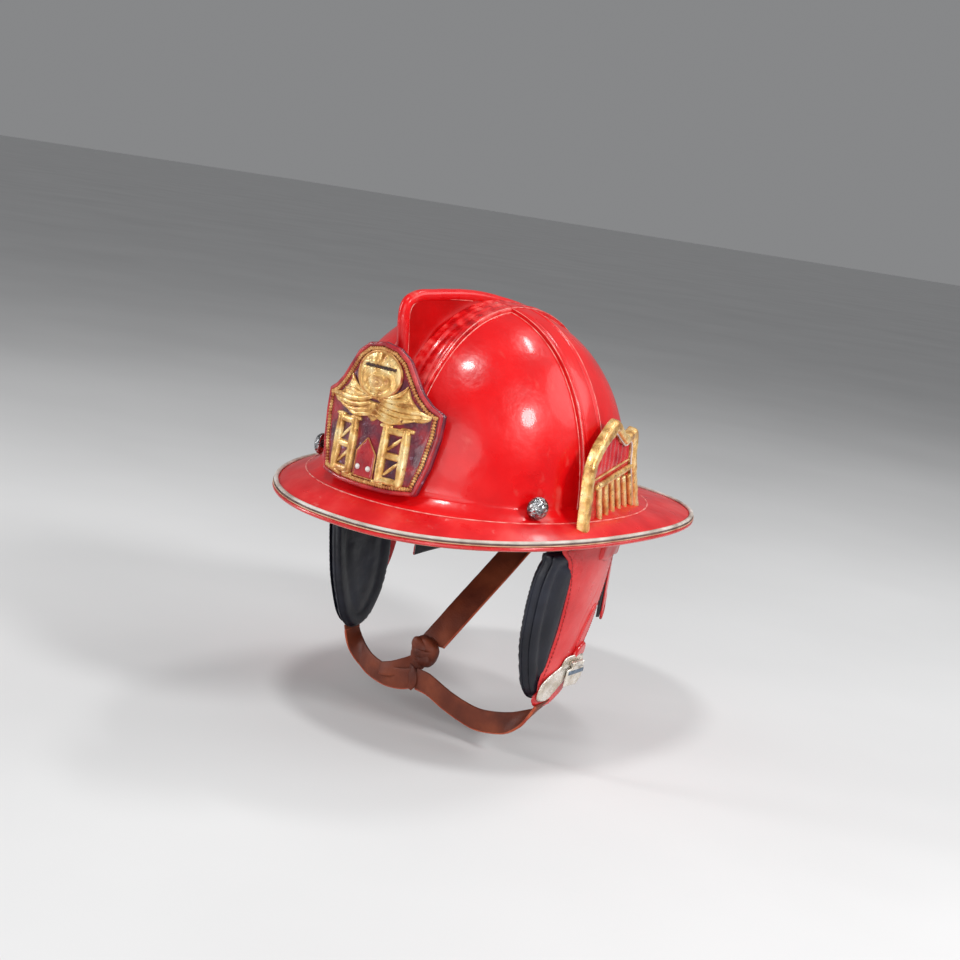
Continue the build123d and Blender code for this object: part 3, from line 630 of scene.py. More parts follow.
def band_lanes(half, height, ridge=0.5, count=34):
    edge_lanes = [(-half, -1.0), (-half, height * 0.55), (-half + 0.5, height * 0.9)]
    middle_lanes = []
    for offset in np.linspace(-half + 1.1, half - 1.1, count):
        gap = half - abs(offset)
        raised, sunk = math.exp(-((gap - 2.2) / 1.0) ** 2), math.exp(-((gap - 4.6) / 0.9) ** 2)
        middle_lanes.append((offset, height - 0.05 + (ridge * raised - ridge * 0.8 * sunk)))
    far_lanes = [(-offset, lane_height) for offset, lane_height in reversed(edge_lanes)]
    return edge_lanes + middle_lanes + far_lanes


across = laid_band(band_lanes(13, 2.6, 0.5), np.linspace(0.17, math.pi - 0.17, 190), False, 0.12)
solid = skin(across, round_rows=False)
make_piece("cross_band", solid, "helmet", lacquer)
along = laid_band(band_lanes(24, 3.1, 0.4, 56), np.linspace(0.19, math.pi - 0.19, 260), True, 1.2)
solid = skin(along, round_rows=False)
make_piece("crown_band", solid, "helmet", folded_red)


def seam(name, offset, height, end_angle, count, along_y, size=0.9):
    """A thin raised line on the dome beside a band's edge."""
    angles = np.linspace(end_angle, math.pi - end_angle, count)
    path = laid_band([(offset, height)], angles, along_y, 0.0)[:, 0]
    outward = dome_normals(path)
    rub = 1 + 0.35 * rough_field(path, 6.0, offset)
    solid = skin(strand(path, size * rub, size * 0.7, outward, 6))
    make_piece(name, solid, "helmet", worn_ridge)


for side, place, end in ((-1, "right", "front"), (1, "left", "rear")):
    seam(f"crown_seam_{place}", side * 23.2, 2.9, 0.2, 220, True)
    seam(f"crown_foot_seam_{place}", side * 25.0, 0.1, 0.16, 220, True)
    seam(f"cross_seam_{end}", side * 12.4, 2.5, 0.18, 200, False)
    seam(f"cross_foot_seam_{end}", side * 14.0, 0.1, 0.14, 200, False, 1.0)
crease_path = np.vstack([crease, crease[:1]]) + np.array([0, 0, 0.1])
solid = skin(strand(crease_path, 1.5, 0.8, (0, 0, 1), 6))
make_piece("brim_crease_wear", solid, "helmet", worn_ridge)
print("bands and seams laid")

# %% [markdown]
# ## Comb
# The comb is the tall fin that the crown bands meet, capped by a round bead that takes the knocks.
# The fin is a thin sheet between the bead's line and the dome; the bead is a tube
# swept along the same line.
# A slight unevenness in the bead's thickness shows that it is wrapped and lacquered by hand.

# %% Comb
comb_line = smooth_path([(0, -117, 98), (0, -119, 118), (0, -121.5, 143), (0, -111.5, 151.5),
                         (0, -90, 153.7), (0, -62, 155), (0, -38, 154.6), (0, -12, 152), (0, 15, 148),
                         (0, 41, 141.5), (0, 56, 133.4)], 150)
focus = np.array([0, -40, 100.0])
comb_foot, comb_out = dome_hit(focus, unit(comb_line - focus))
comb_foot = comb_foot + comb_out * 2.2
reach_out = np.linalg.norm(comb_line - comb_foot, axis=1)
fin_rows = []
for bead, base, gap in zip(comb_line, comb_foot, reach_out):
    shares = np.linspace(0, 1, 14)
    sheet_line = base + (bead - base) * shares[:, None]
    half = 1.9 + 2.6 * np.exp(-shares * max(gap, 1) / 2.5) + 0.12 * rough_field(sheet_line, 5.0, 3)
    left_side, right_side = sheet_line.copy(), sheet_line[::-1].copy()
    left_side[:, 0] += half
    right_side[:, 0] -= half[::-1]
    fin_rows.append(np.vstack([left_side, right_side]))
solid = skin(fin_rows)
comb_fin = make_piece("comb_fin", solid, "helmet", comb_red, ["comb"])
bead_size = 8.6 + 0.25 * rough_field(comb_line, 9.0, 2)
solid = skin(strand(comb_line, bead_size, bead_size, (1, 0, 0), 24))
make_piece("comb_bead", solid, "helmet", lacquer)
for side in (-1, 1):
    wear_line = comb_line + np.array([side * 2.6, 0, 0]) + unit(comb_foot - comb_line) * 3.7
    keep = reach_out > 7
    solid = skin(strand(wear_line[keep], 0.7, 0.7, (side, 0, 0), 6))
    make_piece(f"comb_wear_{'left' if side > 0 else 'right'}", solid, "helmet", worn_ridge)
print("comb length", round(float(np.linalg.norm(np.diff(comb_line, axis=0), axis=1).sum())), "mm")

# %% [markdown]
# ## Brim edge
# The raw edge of the brim is bound so it won't chip: a pale piping above, a dark seam,
# a tan line and a red bumper.
# Each is a closed hoop that follows the brim's edge ring,
# so they stack like the layers of a welt on a shoe.

# %% Piping and bumper
ring_turns = np.linspace(0, 2 * math.pi, 421)


def hoop(name, drop, inset, width, height, material, replaces=(), wear=0.08):
    path = brim_ring(ring_turns, drop, inset)
    uneven = 1 + wear * rough_field(path, 7.0, drop)
    solid = round_tube(path, width * uneven, height * uneven, (0, 0, 1), 10)
    return make_piece(name, solid, "helmet", material, replaces)


hoop("piping_top", -2.1, 2.5, 3.4, 2.4, piping_pale, ["brim_piping"])
hoop("piping_seam", -0.7, 1.6, 2.2, 1.4, piping_dark)
hoop("piping_lower", 0.1, 2.0, 3.7, 1.3, piping_tan)
hoop("bumper_bead", 2.2, 2.0, 3.9, 3.5, bumper_red, ["brim_bumper"], 0.03)
hoop("bumper_welt", 3.7, 2.4, 1.9, 1.0, piping_tan)
print("brim bound")

# %% [markdown]
# ## Plaques
# Shields, badges and leather covers are all flat shapes cut from a pattern and then bent over something.
# `plaque` fills an outline with fine triangles,
# lifts each point by a height rule and bends the result into place.
# The height rule gets the distance from the edge, so a rounded rim or a raised centre is one line of code.

# %% Plaque maker
def outline_of(corners, spacing, rounded=True):
    """A closed outline with even points, through the corners or rounded between them."""
    corners = np.asarray(corners, float)
    if not rounded:
        loop = np.vstack([corners, corners[:1]])
        length = np.linalg.norm(np.diff(loop, axis=0), axis=1).sum()
        return even_path(loop, max(int(length / spacing), 12) + 1)[:-1]
    wrap = np.vstack([corners[-2:], corners, corners[:3]])
    flat = np.column_stack([wrap, np.zeros(len(wrap))])
    fine = []
    for a, b, c, d in zip(flat[:-3], flat[1:-2], flat[2:-1], flat[3:]):
        for t in np.linspace(0, 1, 16, endpoint=False):
            fine.append(between(a, b, c, d, t))
    loop = np.array(fine[16:16 + 16 * len(corners) + 1])[:, :2]
    loop[-1] = loop[0]
    length = np.linalg.norm(np.diff(loop, axis=0), axis=1).sum()
    return even_path(loop, max(int(length / spacing), 12) + 1)[:-1]


def edge_distance(points, loop):
    """How far each flat point is from the outline."""
    starts, ends = loop, np.roll(loop, -1, axis=0)
    best = np.full(len(points), 1e9)
    for a, b in zip(starts, ends):
        d = b - a
        t = np.clip(((points - a) @ d) / max(d @ d, 1e-12), 0, 1)
        best = np.minimum(best, np.linalg.norm(points - a - t[:, None] * d, axis=1))
    return best


def inside(points, loop):
    x, y = points[:, 0], points[:, 1]
    result = np.zeros(len(points), bool)
    for (ax, ay), (bx, by) in zip(loop, np.roll(loop, -1, axis=0)):
        crosses = ((ay > y) != (by > y)) & (x < (bx - ax) * (y - ay) / ((by - ay) or 1e-9) + ax)
        result ^= crosses
    return result


def plaque(loop, bend, low, top, spacing=1.6, bottom=None):
    """Closed solid over an outline: top and bottom rules give heights, and bend gives points in mm."""
    (x0, y0), (x1, y1) = loop.min(axis=0), loop.max(axis=0)
    gx, gy = np.meshgrid(np.arange(x0, x1, spacing), np.arange(y0, y1, spacing * 0.87))
    gx = gx + (np.arange(gx.shape[0]) % 2)[:, None] * spacing / 2
    grid = np.column_stack([gx.ravel(), gy.ravel()])
    grid = grid[inside(grid, loop)]
    grid = grid[edge_distance(grid, loop) > spacing * 0.55]
    flat = np.vstack([loop, grid])
    count = len(loop)
    edges = [(i, (i + 1) % count) for i in range(count)]
    found = delaunay_2d_cdt([Vector(p) for p in flat], edges, [], 1, 1e-5)
    flat = np.array([tuple(p) for p in found[0]])
    triangles = [tuple(face) for face in found[2]]
    distance = edge_distance(flat, loop)
    distance[distance < 1e-4] = 0
    upper = bend(flat[:, 0], flat[:, 1], np.asarray(top(flat[:, 0], flat[:, 1], distance), float))
    low_height = np.full(len(flat), float(low)) if bottom is None else bottom(*flat.T, distance)
    lower = bend(flat[:, 0], flat[:, 1], low_height)
    size = len(flat)
    faces = triangles + [(c + size, b + size, a + size) for a, b, c in triangles]
    borders = {}
    for a, b, c in triangles:
        for pair in ((a, b), (b, c), (c, a)):
            borders[pair] = True
    for a, b in borders:
        if (b, a) not in borders:
            faces.append((b, a, a + size, b + size))
    return np.vstack([upper, lower]), faces


def rounded_top(low, high, radius):
    """Height rule: a flat top with a rounded edge."""
    def rule(x, y, d):
        t = 1 - np.clip(d / radius, 0, 1)
        return low + (high - low) * (0.25 + 0.75 * np.sqrt(np.maximum(1 - t * t, 0)))
    return rule


def inset_loop(loop, amount):
    """The outline moved inwards by an amount."""
    ahead, behind = np.roll(loop, -1, axis=0), np.roll(loop, 1, axis=0)
    along_edge = unit(ahead - behind)
    normal = np.column_stack([-along_edge[:, 1], along_edge[:, 0]])
    area = np.sum(loop[:, 0] * ahead[:, 1] - ahead[:, 0] * loop[:, 1])
    return loop + normal * amount * (1 if area > 0 else -1)


print("plaque maker ready")

# %% [markdown]
# ## Front shield
# The shield is a thick leather front, curved round a 127 mm cylinder and tilted back to follow the crown.
# Its plate has a dark patina where polish has gathered,
# with a red rolled rim and a twisted gold rope inside it.
# The ornaments on it are generic: two gold ladders, a pennant with two rivets, a scroll and a rosette.

# %% Shield plate, rim and rope
SHIELD_BACK_RADIUS, SHIELD_BEND_CENTRE = 124.0, 127.0
SHIELD_Y, SHIELD_Z = -140.2, 60.0
SHIELD_LEAN = math.radians(-3)


def on_shield(x, z, depth):
    """Flat shield pattern to the helmet: x across, z up, depth out from the back face."""
    radius = SHIELD_BACK_RADIUS + np.asarray(depth, float)
    y = -np.sqrt(np.maximum(radius ** 2 - np.asarray(x) ** 2, 0)) + SHIELD_BEND_CENTRE
    rise = np.asarray(z, float) - SHIELD_Z
    return np.column_stack([
        np.broadcast_to(x, rise.shape),
        SHIELD_Y + y * math.cos(SHIELD_LEAN) - rise * math.sin(SHIELD_LEAN),
        SHIELD_Z + y * math.sin(SHIELD_LEAN) + rise * math.cos(SHIELD_LEAN),
    ])


half_shield = [(0, 118.5), (14, 116), (24, 109), (31, 98), (37.5, 88), (45, 81), (54, 76.5), (53.8, 60),
               (50.5, 38), (44, 16), (24, 13), (0, 12.5)]
shield_corners = half_shield + [(-x, z) for x, z in reversed(half_shield[1:-1])]
shield_loop = outline_of(shield_corners, 2.0, rounded=False)


def plate_relief(x, z, d):
    ripple = 0.25 * rough_field(np.column_stack([x, z, x * 0]), 7.0, 8)
    return 3 - 0.25 + ripple * 0.5 + 0.25 * np.clip(d / 6, 0, 1)


solid = plaque(shield_loop, on_shield, 0.0, plate_relief, 1.8)
shield_plate = make_piece("shield_plate_leather", solid, "helmet", shield_patina, ["shield_plate"])


def shield_line(loop, inset, depth, count):
    closed = closed_path(inset_loop(loop, inset), count + 1)
    return on_shield(closed[:, 0], closed[:, 1], depth), on_shield(closed[:, 0], closed[:, 1], depth + 1)


rim_path, rim_out = shield_line(shield_loop, 1.7, 3.3, 300)
solid = round_tube(rim_path, 3.4, 3.3, rim_out - rim_path, 12)
make_piece("shield_rim_roll", solid, "helmet", shield_red, ["shield_rim"])
rope_path, rope_out = shield_line(shield_loop, 4.9, 3.7, 900)
beat = np.abs(np.sin(np.arange(len(rope_path)) * math.pi / 6))
solid = round_tube(rope_path, 1.5 + 2.1 * beat, 1.2 + 1.9 * beat, rope_out - rope_path, 8)
make_piece("shield_rope", solid, "helmet", gold_rope, ["shield_border"])
groove_path, groove_out = shield_line(shield_loop, 7.1, 3.0, 300)
solid = round_tube(groove_path, 0.9, 0.9, groove_out - groove_path, 6)
make_piece("shield_inner_line", solid, "helmet", shield_red)
print("shield plate faces", len(shield_plate.data.polygons))

# %% [markdown]
# The cast pieces are pinned over the leather: the rosette at the top, the scroll's wings,
# the ladders and the pennant.
# A casting has soft tops and deep hollows,
# so each is a rounded plaque or a few tapering strands side by side.

# %% Rosette and scroll
ROSE_Z = 94.5
ROSE_HALF_WIDTH, ROSE_HALF_HEIGHT = 20.0, 16.8
around = np.linspace(0, 2 * math.pi, 96, endpoint=False)
rose_loop = np.column_stack([ROSE_HALF_WIDTH * np.sin(around), ROSE_Z + ROSE_HALF_HEIGHT * np.cos(around)])


def rose_relief(x, z, d):
    reach_here = np.hypot(x / ROSE_HALF_WIDTH, (z - ROSE_Z) / ROSE_HALF_HEIGHT)
    petals = np.arctan2(x, z - ROSE_Z + 5)
    low_centre = np.hypot(x / 17, (z - 89.5) / 12.5)
    rings = 0.85 * np.cos(low_centre * 16) * (1 - step_up(0.9, 1.1, low_centre)) * (1 - step_up(97, 100, z))
    fringe = 0.3 * np.cos(petals * 22) * step_up(97, 100, z)
    dome_part = 2.1 * np.sqrt(np.maximum(1 - reach_here ** 2, 0)) + 0.9
    lip = 1.3 * np.exp(-((z - 103.6 + 0.01 * x * x) / 2.4) ** 2)
    lip = lip - 1.6 * np.exp(-((z - 100.2) / 1.1) ** 2) * (np.abs(x) < 15)
    knocks = 0.4 * rough_field(np.column_stack([x, z, x * 0]), 3.0, 12)
    return 2.9 + dome_part * 0.85 + (rings + fringe + lip + knocks) * step_up(0, 0.25, 1 - reach_here)


solid = plaque(rose_loop, on_shield, 2.7, rose_relief, 0.8)
make_piece("shield_rosette", solid, "helmet", gold, ["shield_medallion"])
rose_rim = on_shield(np.r_[rose_loop[:, 0], 0.0], np.r_[rose_loop[:, 1], rose_loop[0, 1]], 3.9)
rose_rim_out = on_shield(np.r_[rose_loop[:, 0], 0.0], np.r_[rose_loop[:, 1], rose_loop[0, 1]], 5.0)
solid = round_tube(rose_rim, 2.0, 2.0, rose_rim_out - rose_rim, 10)
make_piece("rosette_rim", solid, "helmet", gold_rope)
slot_x = np.linspace(-13, 15.5, 40)
slot_z = 100.4 + 0.35 * np.sin(slot_x * 2.2)
slot_path = on_shield(slot_x, slot_z, 5.2)
solid = skin(strand(slot_path, 2.0, 1.0, on_shield(slot_x, slot_z, 6.2) - slot_path, 8))
make_piece("rosette_slot", solid, "helmet", slit_dark)
heart_loop = np.column_stack([6.5 * np.sin(around), 88.3 + 4.6 * np.cos(around)])
solid = plaque(heart_loop, on_shield, 3.5, lambda x, z, d: 5.0 + 0.5 * np.cos(d * 2.6) + 0.25 * d, 0.7)
make_piece("rosette_heart", solid, "helmet", rose_brown)

half_scroll = [(0, 61), (8, 65), (22, 63), (32, 67), (42, 68.5), (46.5, 73), (38, 76), (30, 83),
               (26, 90), (20, 82), (12, 77), (0, 75)]
scroll_loop = outline_of(half_scroll + [(-x, z) for x, z in reversed(half_scroll[1:-1])], 1.2)
solid = plaque(scroll_loop, on_shield, 2.8, rounded_top(3.0, 4.3, 2.0), 1.3)
make_piece("shield_scroll_base", solid, "helmet", gold, ["shield_scroll"])
feathers = [
    ([(3, 78), (12, 75), (25, 74), (38, 74.5), (47, 73.2)], 4.4),
    ([(3, 74), (12, 71), (24, 70), (36, 71), (44, 71.5)], 4.0),
    ([(2, 70), (10, 67.5), (20, 66), (29, 67), (36, 69)], 4.2),
    ([(8, 78), (16, 78.5), (25, 80), (33, 79.5)], 3.6),
    ([(12, 80), (19, 83), (24, 87), (26.5, 91)], 3.4),
    ([(0, 66), (7, 65), (15, 63.5), (22, 64.5), (27, 67)], 3.8),
    ([(17, 66), (22, 65), (25, 67), (23, 70), (19, 70)], 2.8),
]
parts = []
for line, size in feathers:
    for side in (1, -1):
        flat = smooth_path([(side * x, z, 0) for x, z in line], 34)
        taper = np.sin(np.linspace(0.35, math.pi - 0.12, 34)) ** 0.6
        path = on_shield(flat[:, 0], flat[:, 1], 4.3)
        out = on_shield(flat[:, 0], flat[:, 1], 5.3) - path
        parts.append(skin(strand(path, size * taper, 3.0 * taper, out, 10)))
solid = join_parts(parts)
make_piece("scroll_feathers", solid, "helmet", gold)
print("scroll strands", len(parts))

# %% [markdown]
# The two ladders stand where a crest or figures would be: upright posts with rungs,
# cast with rounded backs.
# The pennant between them is enamelled red with a gold edge and is held by two pale rivets.

# %% Ladders, pennant and rivets
def cast_bar(start, end, width, height, depth):
    """A round-backed cast bar between two points of the shield pattern."""
    flat = smooth_path([(*start, 0), (*end, 0)], 24)
    path = on_shield(flat[:, 0], flat[:, 1], depth)
    taper = np.sin(np.linspace(0.3, math.pi - 0.3, 24)) ** 0.35
    uneven = 1 + 0.06 * rough_field(path, 4.0, start[0])
    out = on_shield(flat[:, 0], flat[:, 1], depth + 1) - path
    return skin(strand(path, width * taper * uneven, height, out, 12, 0.8))


LADDER_X = 23
POSTS = (-8.5, 8.5)
for place, side in (("left", 1), ("right", -1)):
    x = side * LADDER_X
    bars = [cast_bar((x + post, 19.5), (x + post * 0.97, 61), 7.2, 5.6, 3.6) for post in POSTS]
    bars += [cast_bar((x - 10.5, z), (x + 10.5, z), 5.4, 4.6, 3.4) for z in (22, 40, 58)]
    bars += [cast_bar((x + post - 5, z), (x + post + 5, z), 3.4, 3.6, 3.3)
             for post in POSTS for z in (19.5, 60.5)]
    bars += [cast_bar((x - 5, z - 5), (x + 5, z + 5), 2.6, 2.6, 3.0) for z in (31, 49)]
    solid = join_parts(bars)
    make_piece(f"ladder_{place}", solid, "helmet", gold, [f"shield_ornament_{place}"])

pennant_loop = outline_of([(-9, 20), (9, 20), (9, 38), (0, 49), (-9, 38)], 0.9, rounded=False)
solid = plaque(pennant_loop, on_shield, 2.8, rounded_top(3.0, 4.5, 1.2), 1.0)
make_piece("pennant", solid, "helmet", shield_red, ["shield_pennant"])
pennant_edge = np.vstack([pennant_loop, pennant_loop[:1]])
edge_path = on_shield(pennant_edge[:, 0], pennant_edge[:, 1], 3.6)
edge_out = on_shield(pennant_edge[:, 0], pennant_edge[:, 1], 4.6) - edge_path
solid = round_tube(edge_path, 1.1, 1.0, edge_out, 8)
make_piece("pennant_edge", solid, "helmet", gold_rope)
RIVET_RADIUS = 2.1


def rivet_top(x, z, d):
    return 4.6 + 1.7 * np.sqrt(np.clip(d / RIVET_RADIUS, 0, 1))


parts = []
for x in (-5, 5):
    rivet_loop = np.column_stack([x + RIVET_RADIUS * np.sin(around[::3]),
                                  27 + RIVET_RADIUS * np.cos(around[::3])])
    parts.append(plaque(rivet_loop, on_shield, 4.3, rivet_top, 0.5))
solid = join_parts(parts)
make_piece("pennant_rivets", solid, "helmet", rivet_white, ["shield_rivets"])
print("shield dressed")

# %% [markdown]
# ## Side badges
# Each side carries an arched frame of hammered gold, open at the foot,
# around a red enamel plate with slanted pillars.
# The frame is a fat strip whose inner and outer outlines differ, so it is lofted between the two outlines.
# The right-hand badge is the left one mirrored, as the two are cast from mirrored patterns.

# %% Badge placing and frame
BADGE_FOOT = np.array([110, 19, 6.0])


def turn_matrix(axis, degrees):
    return np.array(Matrix.Rotation(math.radians(degrees), 3, axis))


BADGE_TURN = turn_matrix("Z", 13) @ turn_matrix("Y", -4) @ turn_matrix("Z", 90)


def badge_place(x, z, out):
    """Flat badge pattern to the helmet: x across, z up, out from the back face."""
    flat = np.column_stack([x, -np.broadcast_to(out, np.shape(x)), z])
    return flat @ BADGE_TURN.T + BADGE_FOOT


badge_outer = [(-67, -2), (-66, 22), (-64, 42), (-56, 54), (-46, 62), (-28, 72), (-14, 77), (-4, 72),
               (10, 64), (22, 66), (30, 68), (35, 62), (37, 42), (48, 17), (56, -2)]
badge_inner = [(-56, -4), (-55, 22), (-53, 39), (-42, 52), (-22, 62), (-13, 66), (0, 60), (12, 55),
               (24, 57), (28, 50), (29, 40), (38, 16), (46, -4)]


def flat_curve(corners, count):
    return smooth_path([(x, z, 0) for x, z in corners], count)[:, :2]


outer_line, inner_line = flat_curve(badge_outer, 170), flat_curve(badge_inner, 170)
frame_rows = []
for (ox, oz), (ix, iz) in zip(outer_line, inner_line):
    shares = np.linspace(0, 1, 15)
    lift = 0.6 + 6.6 * np.sqrt(np.maximum(1 - (2 * shares - 1) ** 4, 0))
    x = np.r_[ox + (ix - ox) * shares, ix, ox]
    z = np.r_[oz + (iz - oz) * shares, iz, oz]
    frame_rows.append(badge_place(x, z, np.r_[lift, 0.05, 0.05]))
frame_rows = np.array(frame_rows)
dents = rough_field(frame_rows, 6.5, 9) * 0.55 + rough_field(frame_rows, 3.0, 5) * 0.25
away = (BADGE_TURN @ np.array([0, -1.0, 0]))
frame_rows[:, 1:14] += dents[:, 1:14, None] * away
frame_solid = skin(frame_rows)

badge_plate_line = [(x * 0.99, z + 0.6) for x, z in badge_inner]
plate_loop = outline_of(badge_plate_line, 2.0, rounded=False)


def enamel_ribs(x, z, d):
    ribs = 0.55 * np.cos(x * 2 * math.pi / 8.6) * step_up(36, 44, z)
    return 2.3 + ribs + 0.2 * rough_field(np.column_stack([x, z, x * 0]), 8.0, 3)


plate_solid = plaque(plate_loop, badge_place, 0.0, enamel_ribs, 1.5)


def badge_bar(start, end, width, height, out):
    flat = np.linspace(start, end, 18)
    path = badge_place(flat[:, 0], flat[:, 1], out)
    taper = np.sin(np.linspace(0.35, math.pi - 0.35, 18)) ** 0.3
    uneven = 1 + 0.08 * rough_field(path, 4.0, start[0])
    return skin(strand(path, width * taper * uneven, height, away, 12, 0.8))


bars = []
for step in range(6):
    bars.append(badge_bar((-28.5 + 14.0 * step, -0.5), (-37.5 + 13.1 * step, 31), 6.0, 4.2, 3.6))
bars.append(badge_bar((-45, 27.6), (31, 37.4), 5.0, 4.0, 3.9))
bars.append(badge_bar((-49, 33.4), (30, 43.2), 1.6, 1.6, 2.9))
pillar_solid = join_parts(bars)
line_path = badge_place(inner_line[:, 0], inner_line[:, 1], 4.4)
line_solid = skin(strand(line_path, 1.3, 1.6, away, 8))

for place in ("left", "right"):
    for label, solid, material, node, slot_name in (
        ("badge_frame_cast", frame_solid, gold, "badge_frame", "gold_relief"),
        ("badge_enamel", plate_solid, badge_red, "badge_plate", "badge_red"),
        ("badge_pillar_bars", pillar_solid, gold, "badge_pillars", "gold_relief"),
        ("badge_inner_line", line_solid, piping_pale, None, "piping_pale"),
    ):
        stands_for = [f"{node}_{place}"] if node else []
        make_piece(f"{label}_{place}", sided(solid, place), "helmet", material, stands_for)
print("badges made")

# %% [markdown]
# ## Side knobs
# A bright hammered knob each side is bolted through the shell and shines like a small
# mirror above the brim.
# It is a low dome turned on a lathe, then planished: the facets are real dents,
# because that's what catches light.

# %% Hammered knobs
KNOB_TURN = turn_matrix("Z", -26) @ turn_matrix("Y", 90)
KNOB_PLACE = np.array([103.6, -71.2, 18.6])
spin = np.linspace(0, 2 * math.pi, 64, endpoint=False)
profile = [(7.2, 2.9), (8.2, 3.0), (8.5, 3.7)]
profile += [(8.5 * math.cos(a), 3.9 + 5.2 * math.sin(a)) for a in np.linspace(0.08, math.pi / 2 - 0.06, 26)]
knob_rows = np.array([[(r * math.cos(a), r * math.sin(a), h) for a in spin] for r, h in profile])
cells = rough_field(knob_rows, 2.6, 6) * 0.35 + rough_field(knob_rows, 1.3, 8) * 0.12
knob_rows *= 1 + (cells / 9)[..., None] * step_up(2, 6, np.arange(len(profile)))[:, None, None]
knob_points, knob_faces = skin(knob_rows)
knob_points = knob_points @ KNOB_TURN.T + KNOB_PLACE
shank_rows = np.array([[(3 * math.cos(a), 3 * math.sin(a), h) for a in spin] for h in (-8, 3.2)])
shank_points, shank_faces = skin(shank_rows)
solid = join_parts([(knob_points, knob_faces), (shank_points @ KNOB_TURN.T + KNOB_PLACE, shank_faces)])
for place in ("left", "right"):
    make_piece(f"hammered_knob_{place}", sided(solid, place), "helmet", hammered, [f"side_knob_{place}"])
print("knobs made")

# %% [markdown]
# ## Ear flaps
# Each flap hangs from a hinge under the brim: a thick padded lining, a fibre board,
# and a red leather cover outside.
# All three layers are cut from flat patterns and bent round the same cylinder,
# which is how such flaps are pressed.
# The pad is stuffed, so it has a rolled border, a shallow groove and a raised centre with slack wrinkles.

# %% Flap placing and pads
FLAP_TURN = turn_matrix("Y", 7.5)
FLAP_TOP = np.array([118, 0, -8.0])
FLAP_RADIUS = 130
FLAP_BEND_Y = -12


def on_flap(y, z, depth):
    """Flat flap pattern to the helmet: y fore and aft, z along it, depth out from the pad's outer face."""
    radius = FLAP_RADIUS + np.asarray(depth, float)
    across = np.asarray(y, float) - FLAP_BEND_Y
    x = np.sqrt(np.maximum(radius ** 2 - across ** 2, 0)) - FLAP_RADIUS
    flat = np.column_stack([x, y, np.broadcast_to(z, x.shape)])
    return flat @ FLAP_TURN.T + FLAP_TOP


pad_corners = [(-44, -9), (-50, -18), (-53, -36), (-52, -60), (-49, -84), (-43, -104), (-36, -120),
               (-26, -130), (-14, -131.5), (-3, -127), (7, -114), (14, -98), (19, -76), (21, -50),
               (22, -22), (18, -9)]
pad_loop = inset_loop(outline_of(pad_corners, 2.6), 0.5)


def pad_outer(y, z, d):
    roll = -5.5 * (1 - np.sqrt(np.maximum(1 - (1 - np.clip(d / 7.5, 0, 1)) ** 2, 0)))
    field = np.column_stack([y * 2.4, z * 0.5, y * 0])
    return -0.4 + roll + 0.35 * rough_field(field, 12.0, 4) * step_up(2, 10, d)


def pad_inner(y, z, d):
    roll = 6.0 * (1 - np.sqrt(np.maximum(1 - (1 - np.clip(d / 9.5, 0, 1)) ** 2, 0)))
    groove = 0.5 * np.exp(-((d - 12.5) / 2.4) ** 2)
    centre = 1.2 * (step_up(13, 22, d) - 1) * step_up(0, 9, d)
    field = np.column_stack([y, z * 0.6, y * 0])
    crossways = np.column_stack([y * 0.6, z * 1.6, y * 0])
    creases = 0.4 * rough_field(field, 15.0, 7) + 0.1 * rough_field(crossways, 6.0, 2)
    return np.minimum(-12.4 + roll + groove - centre + creases * step_up(3, 12, d), -2.0)


pad_solid = plaque(pad_loop, on_flap, 0, pad_outer, 2.1, bottom=pad_inner)
welt = closed_path(pad_loop, 261)
welt_path = on_flap(welt[:, 0], welt[:, 1], -5.9)
welt_out = on_flap(welt[:, 0], welt[:, 1], 1.0) - welt_path
welt_solid = round_tube(welt_path, 1.5, 1.8, welt_out, 8)


def stitches(line, depth, size):
    """Thread stitches along a flat line: each is a short tube that dips at both ends."""
    parts = []
    for a, b in zip(line[:-1], line[1:]):
        t = np.linspace(0.12, 0.88, 6)[:, None]
        flat = a + (b - a) * t
        dip = depth + 0.45 * np.sin(np.linspace(0, math.pi, 6))
        path = on_flap(flat[:, 0], flat[:, 1], dip)
        up = on_flap(flat[:, 0], flat[:, 1], dip + 1) - path
        parts.append(skin(strand(path, size, size * 0.8, up, 6)))
    return join_parts(parts)


for place in ("left", "right"):
    body = f"{place}_flap"
    pad = make_piece(f"ear_pad_lining_{place}", sided(pad_solid, place), body, pad_vinyl,
                     [f"ear_pad_{place}"])
    make_piece(f"ear_pad_welt_{place}", sided(welt_solid, place), body, pad_vinyl)
print("pads stuffed,", len(pad_solid[1]), "faces each")

# %% [markdown]
# The cover, its keeper loop and the pointed tongue are leather,
# so their edges are skived thin and stitched down.
# The cover swells a little over the board, and its stitches run all round, 2 mm inside the edge.

# %% Covers, keepers, tongues and stitches
cover_corners = [(-40, -3), (-34, -16), (-29, -31), (-26, -46), (-25, -64), (-25, -80), (-27, -96),
                 (-29, -109), (-28, -121), (-20, -127), (0, -121), (18, -105), (23, -92), (30, -76),
                 (35, -58), (38, -40), (38, -20), (36, -3)]
cover_loop = outline_of(cover_corners, 1.8)


def cover_top(y, z, d):
    field = np.column_stack([y, z * 0.5, y * 0])
    swell = 0.9 * (1 - np.exp(-d / 6)) + 0.35 * rough_field(field, 16.0, 3) * step_up(1, 6, d)
    tongue_line = np.exp(-((np.abs(y - 14 - (z + 70) * 0.25) - 11 + np.abs(z + 68) / 3.4) / 0.8) ** 2)
    lines = 0.4 * tongue_line * step_up(-98, -92, z) * (1 - step_up(-42, -36, z))
    groove = 0.45 * np.exp(-((d - 1.9) / 0.55) ** 2)
    return 2.0 + 1.5 * np.sqrt(np.clip(d / 1.6, 0, 1)) * 0.9 + swell * 0.5 - lines - groove


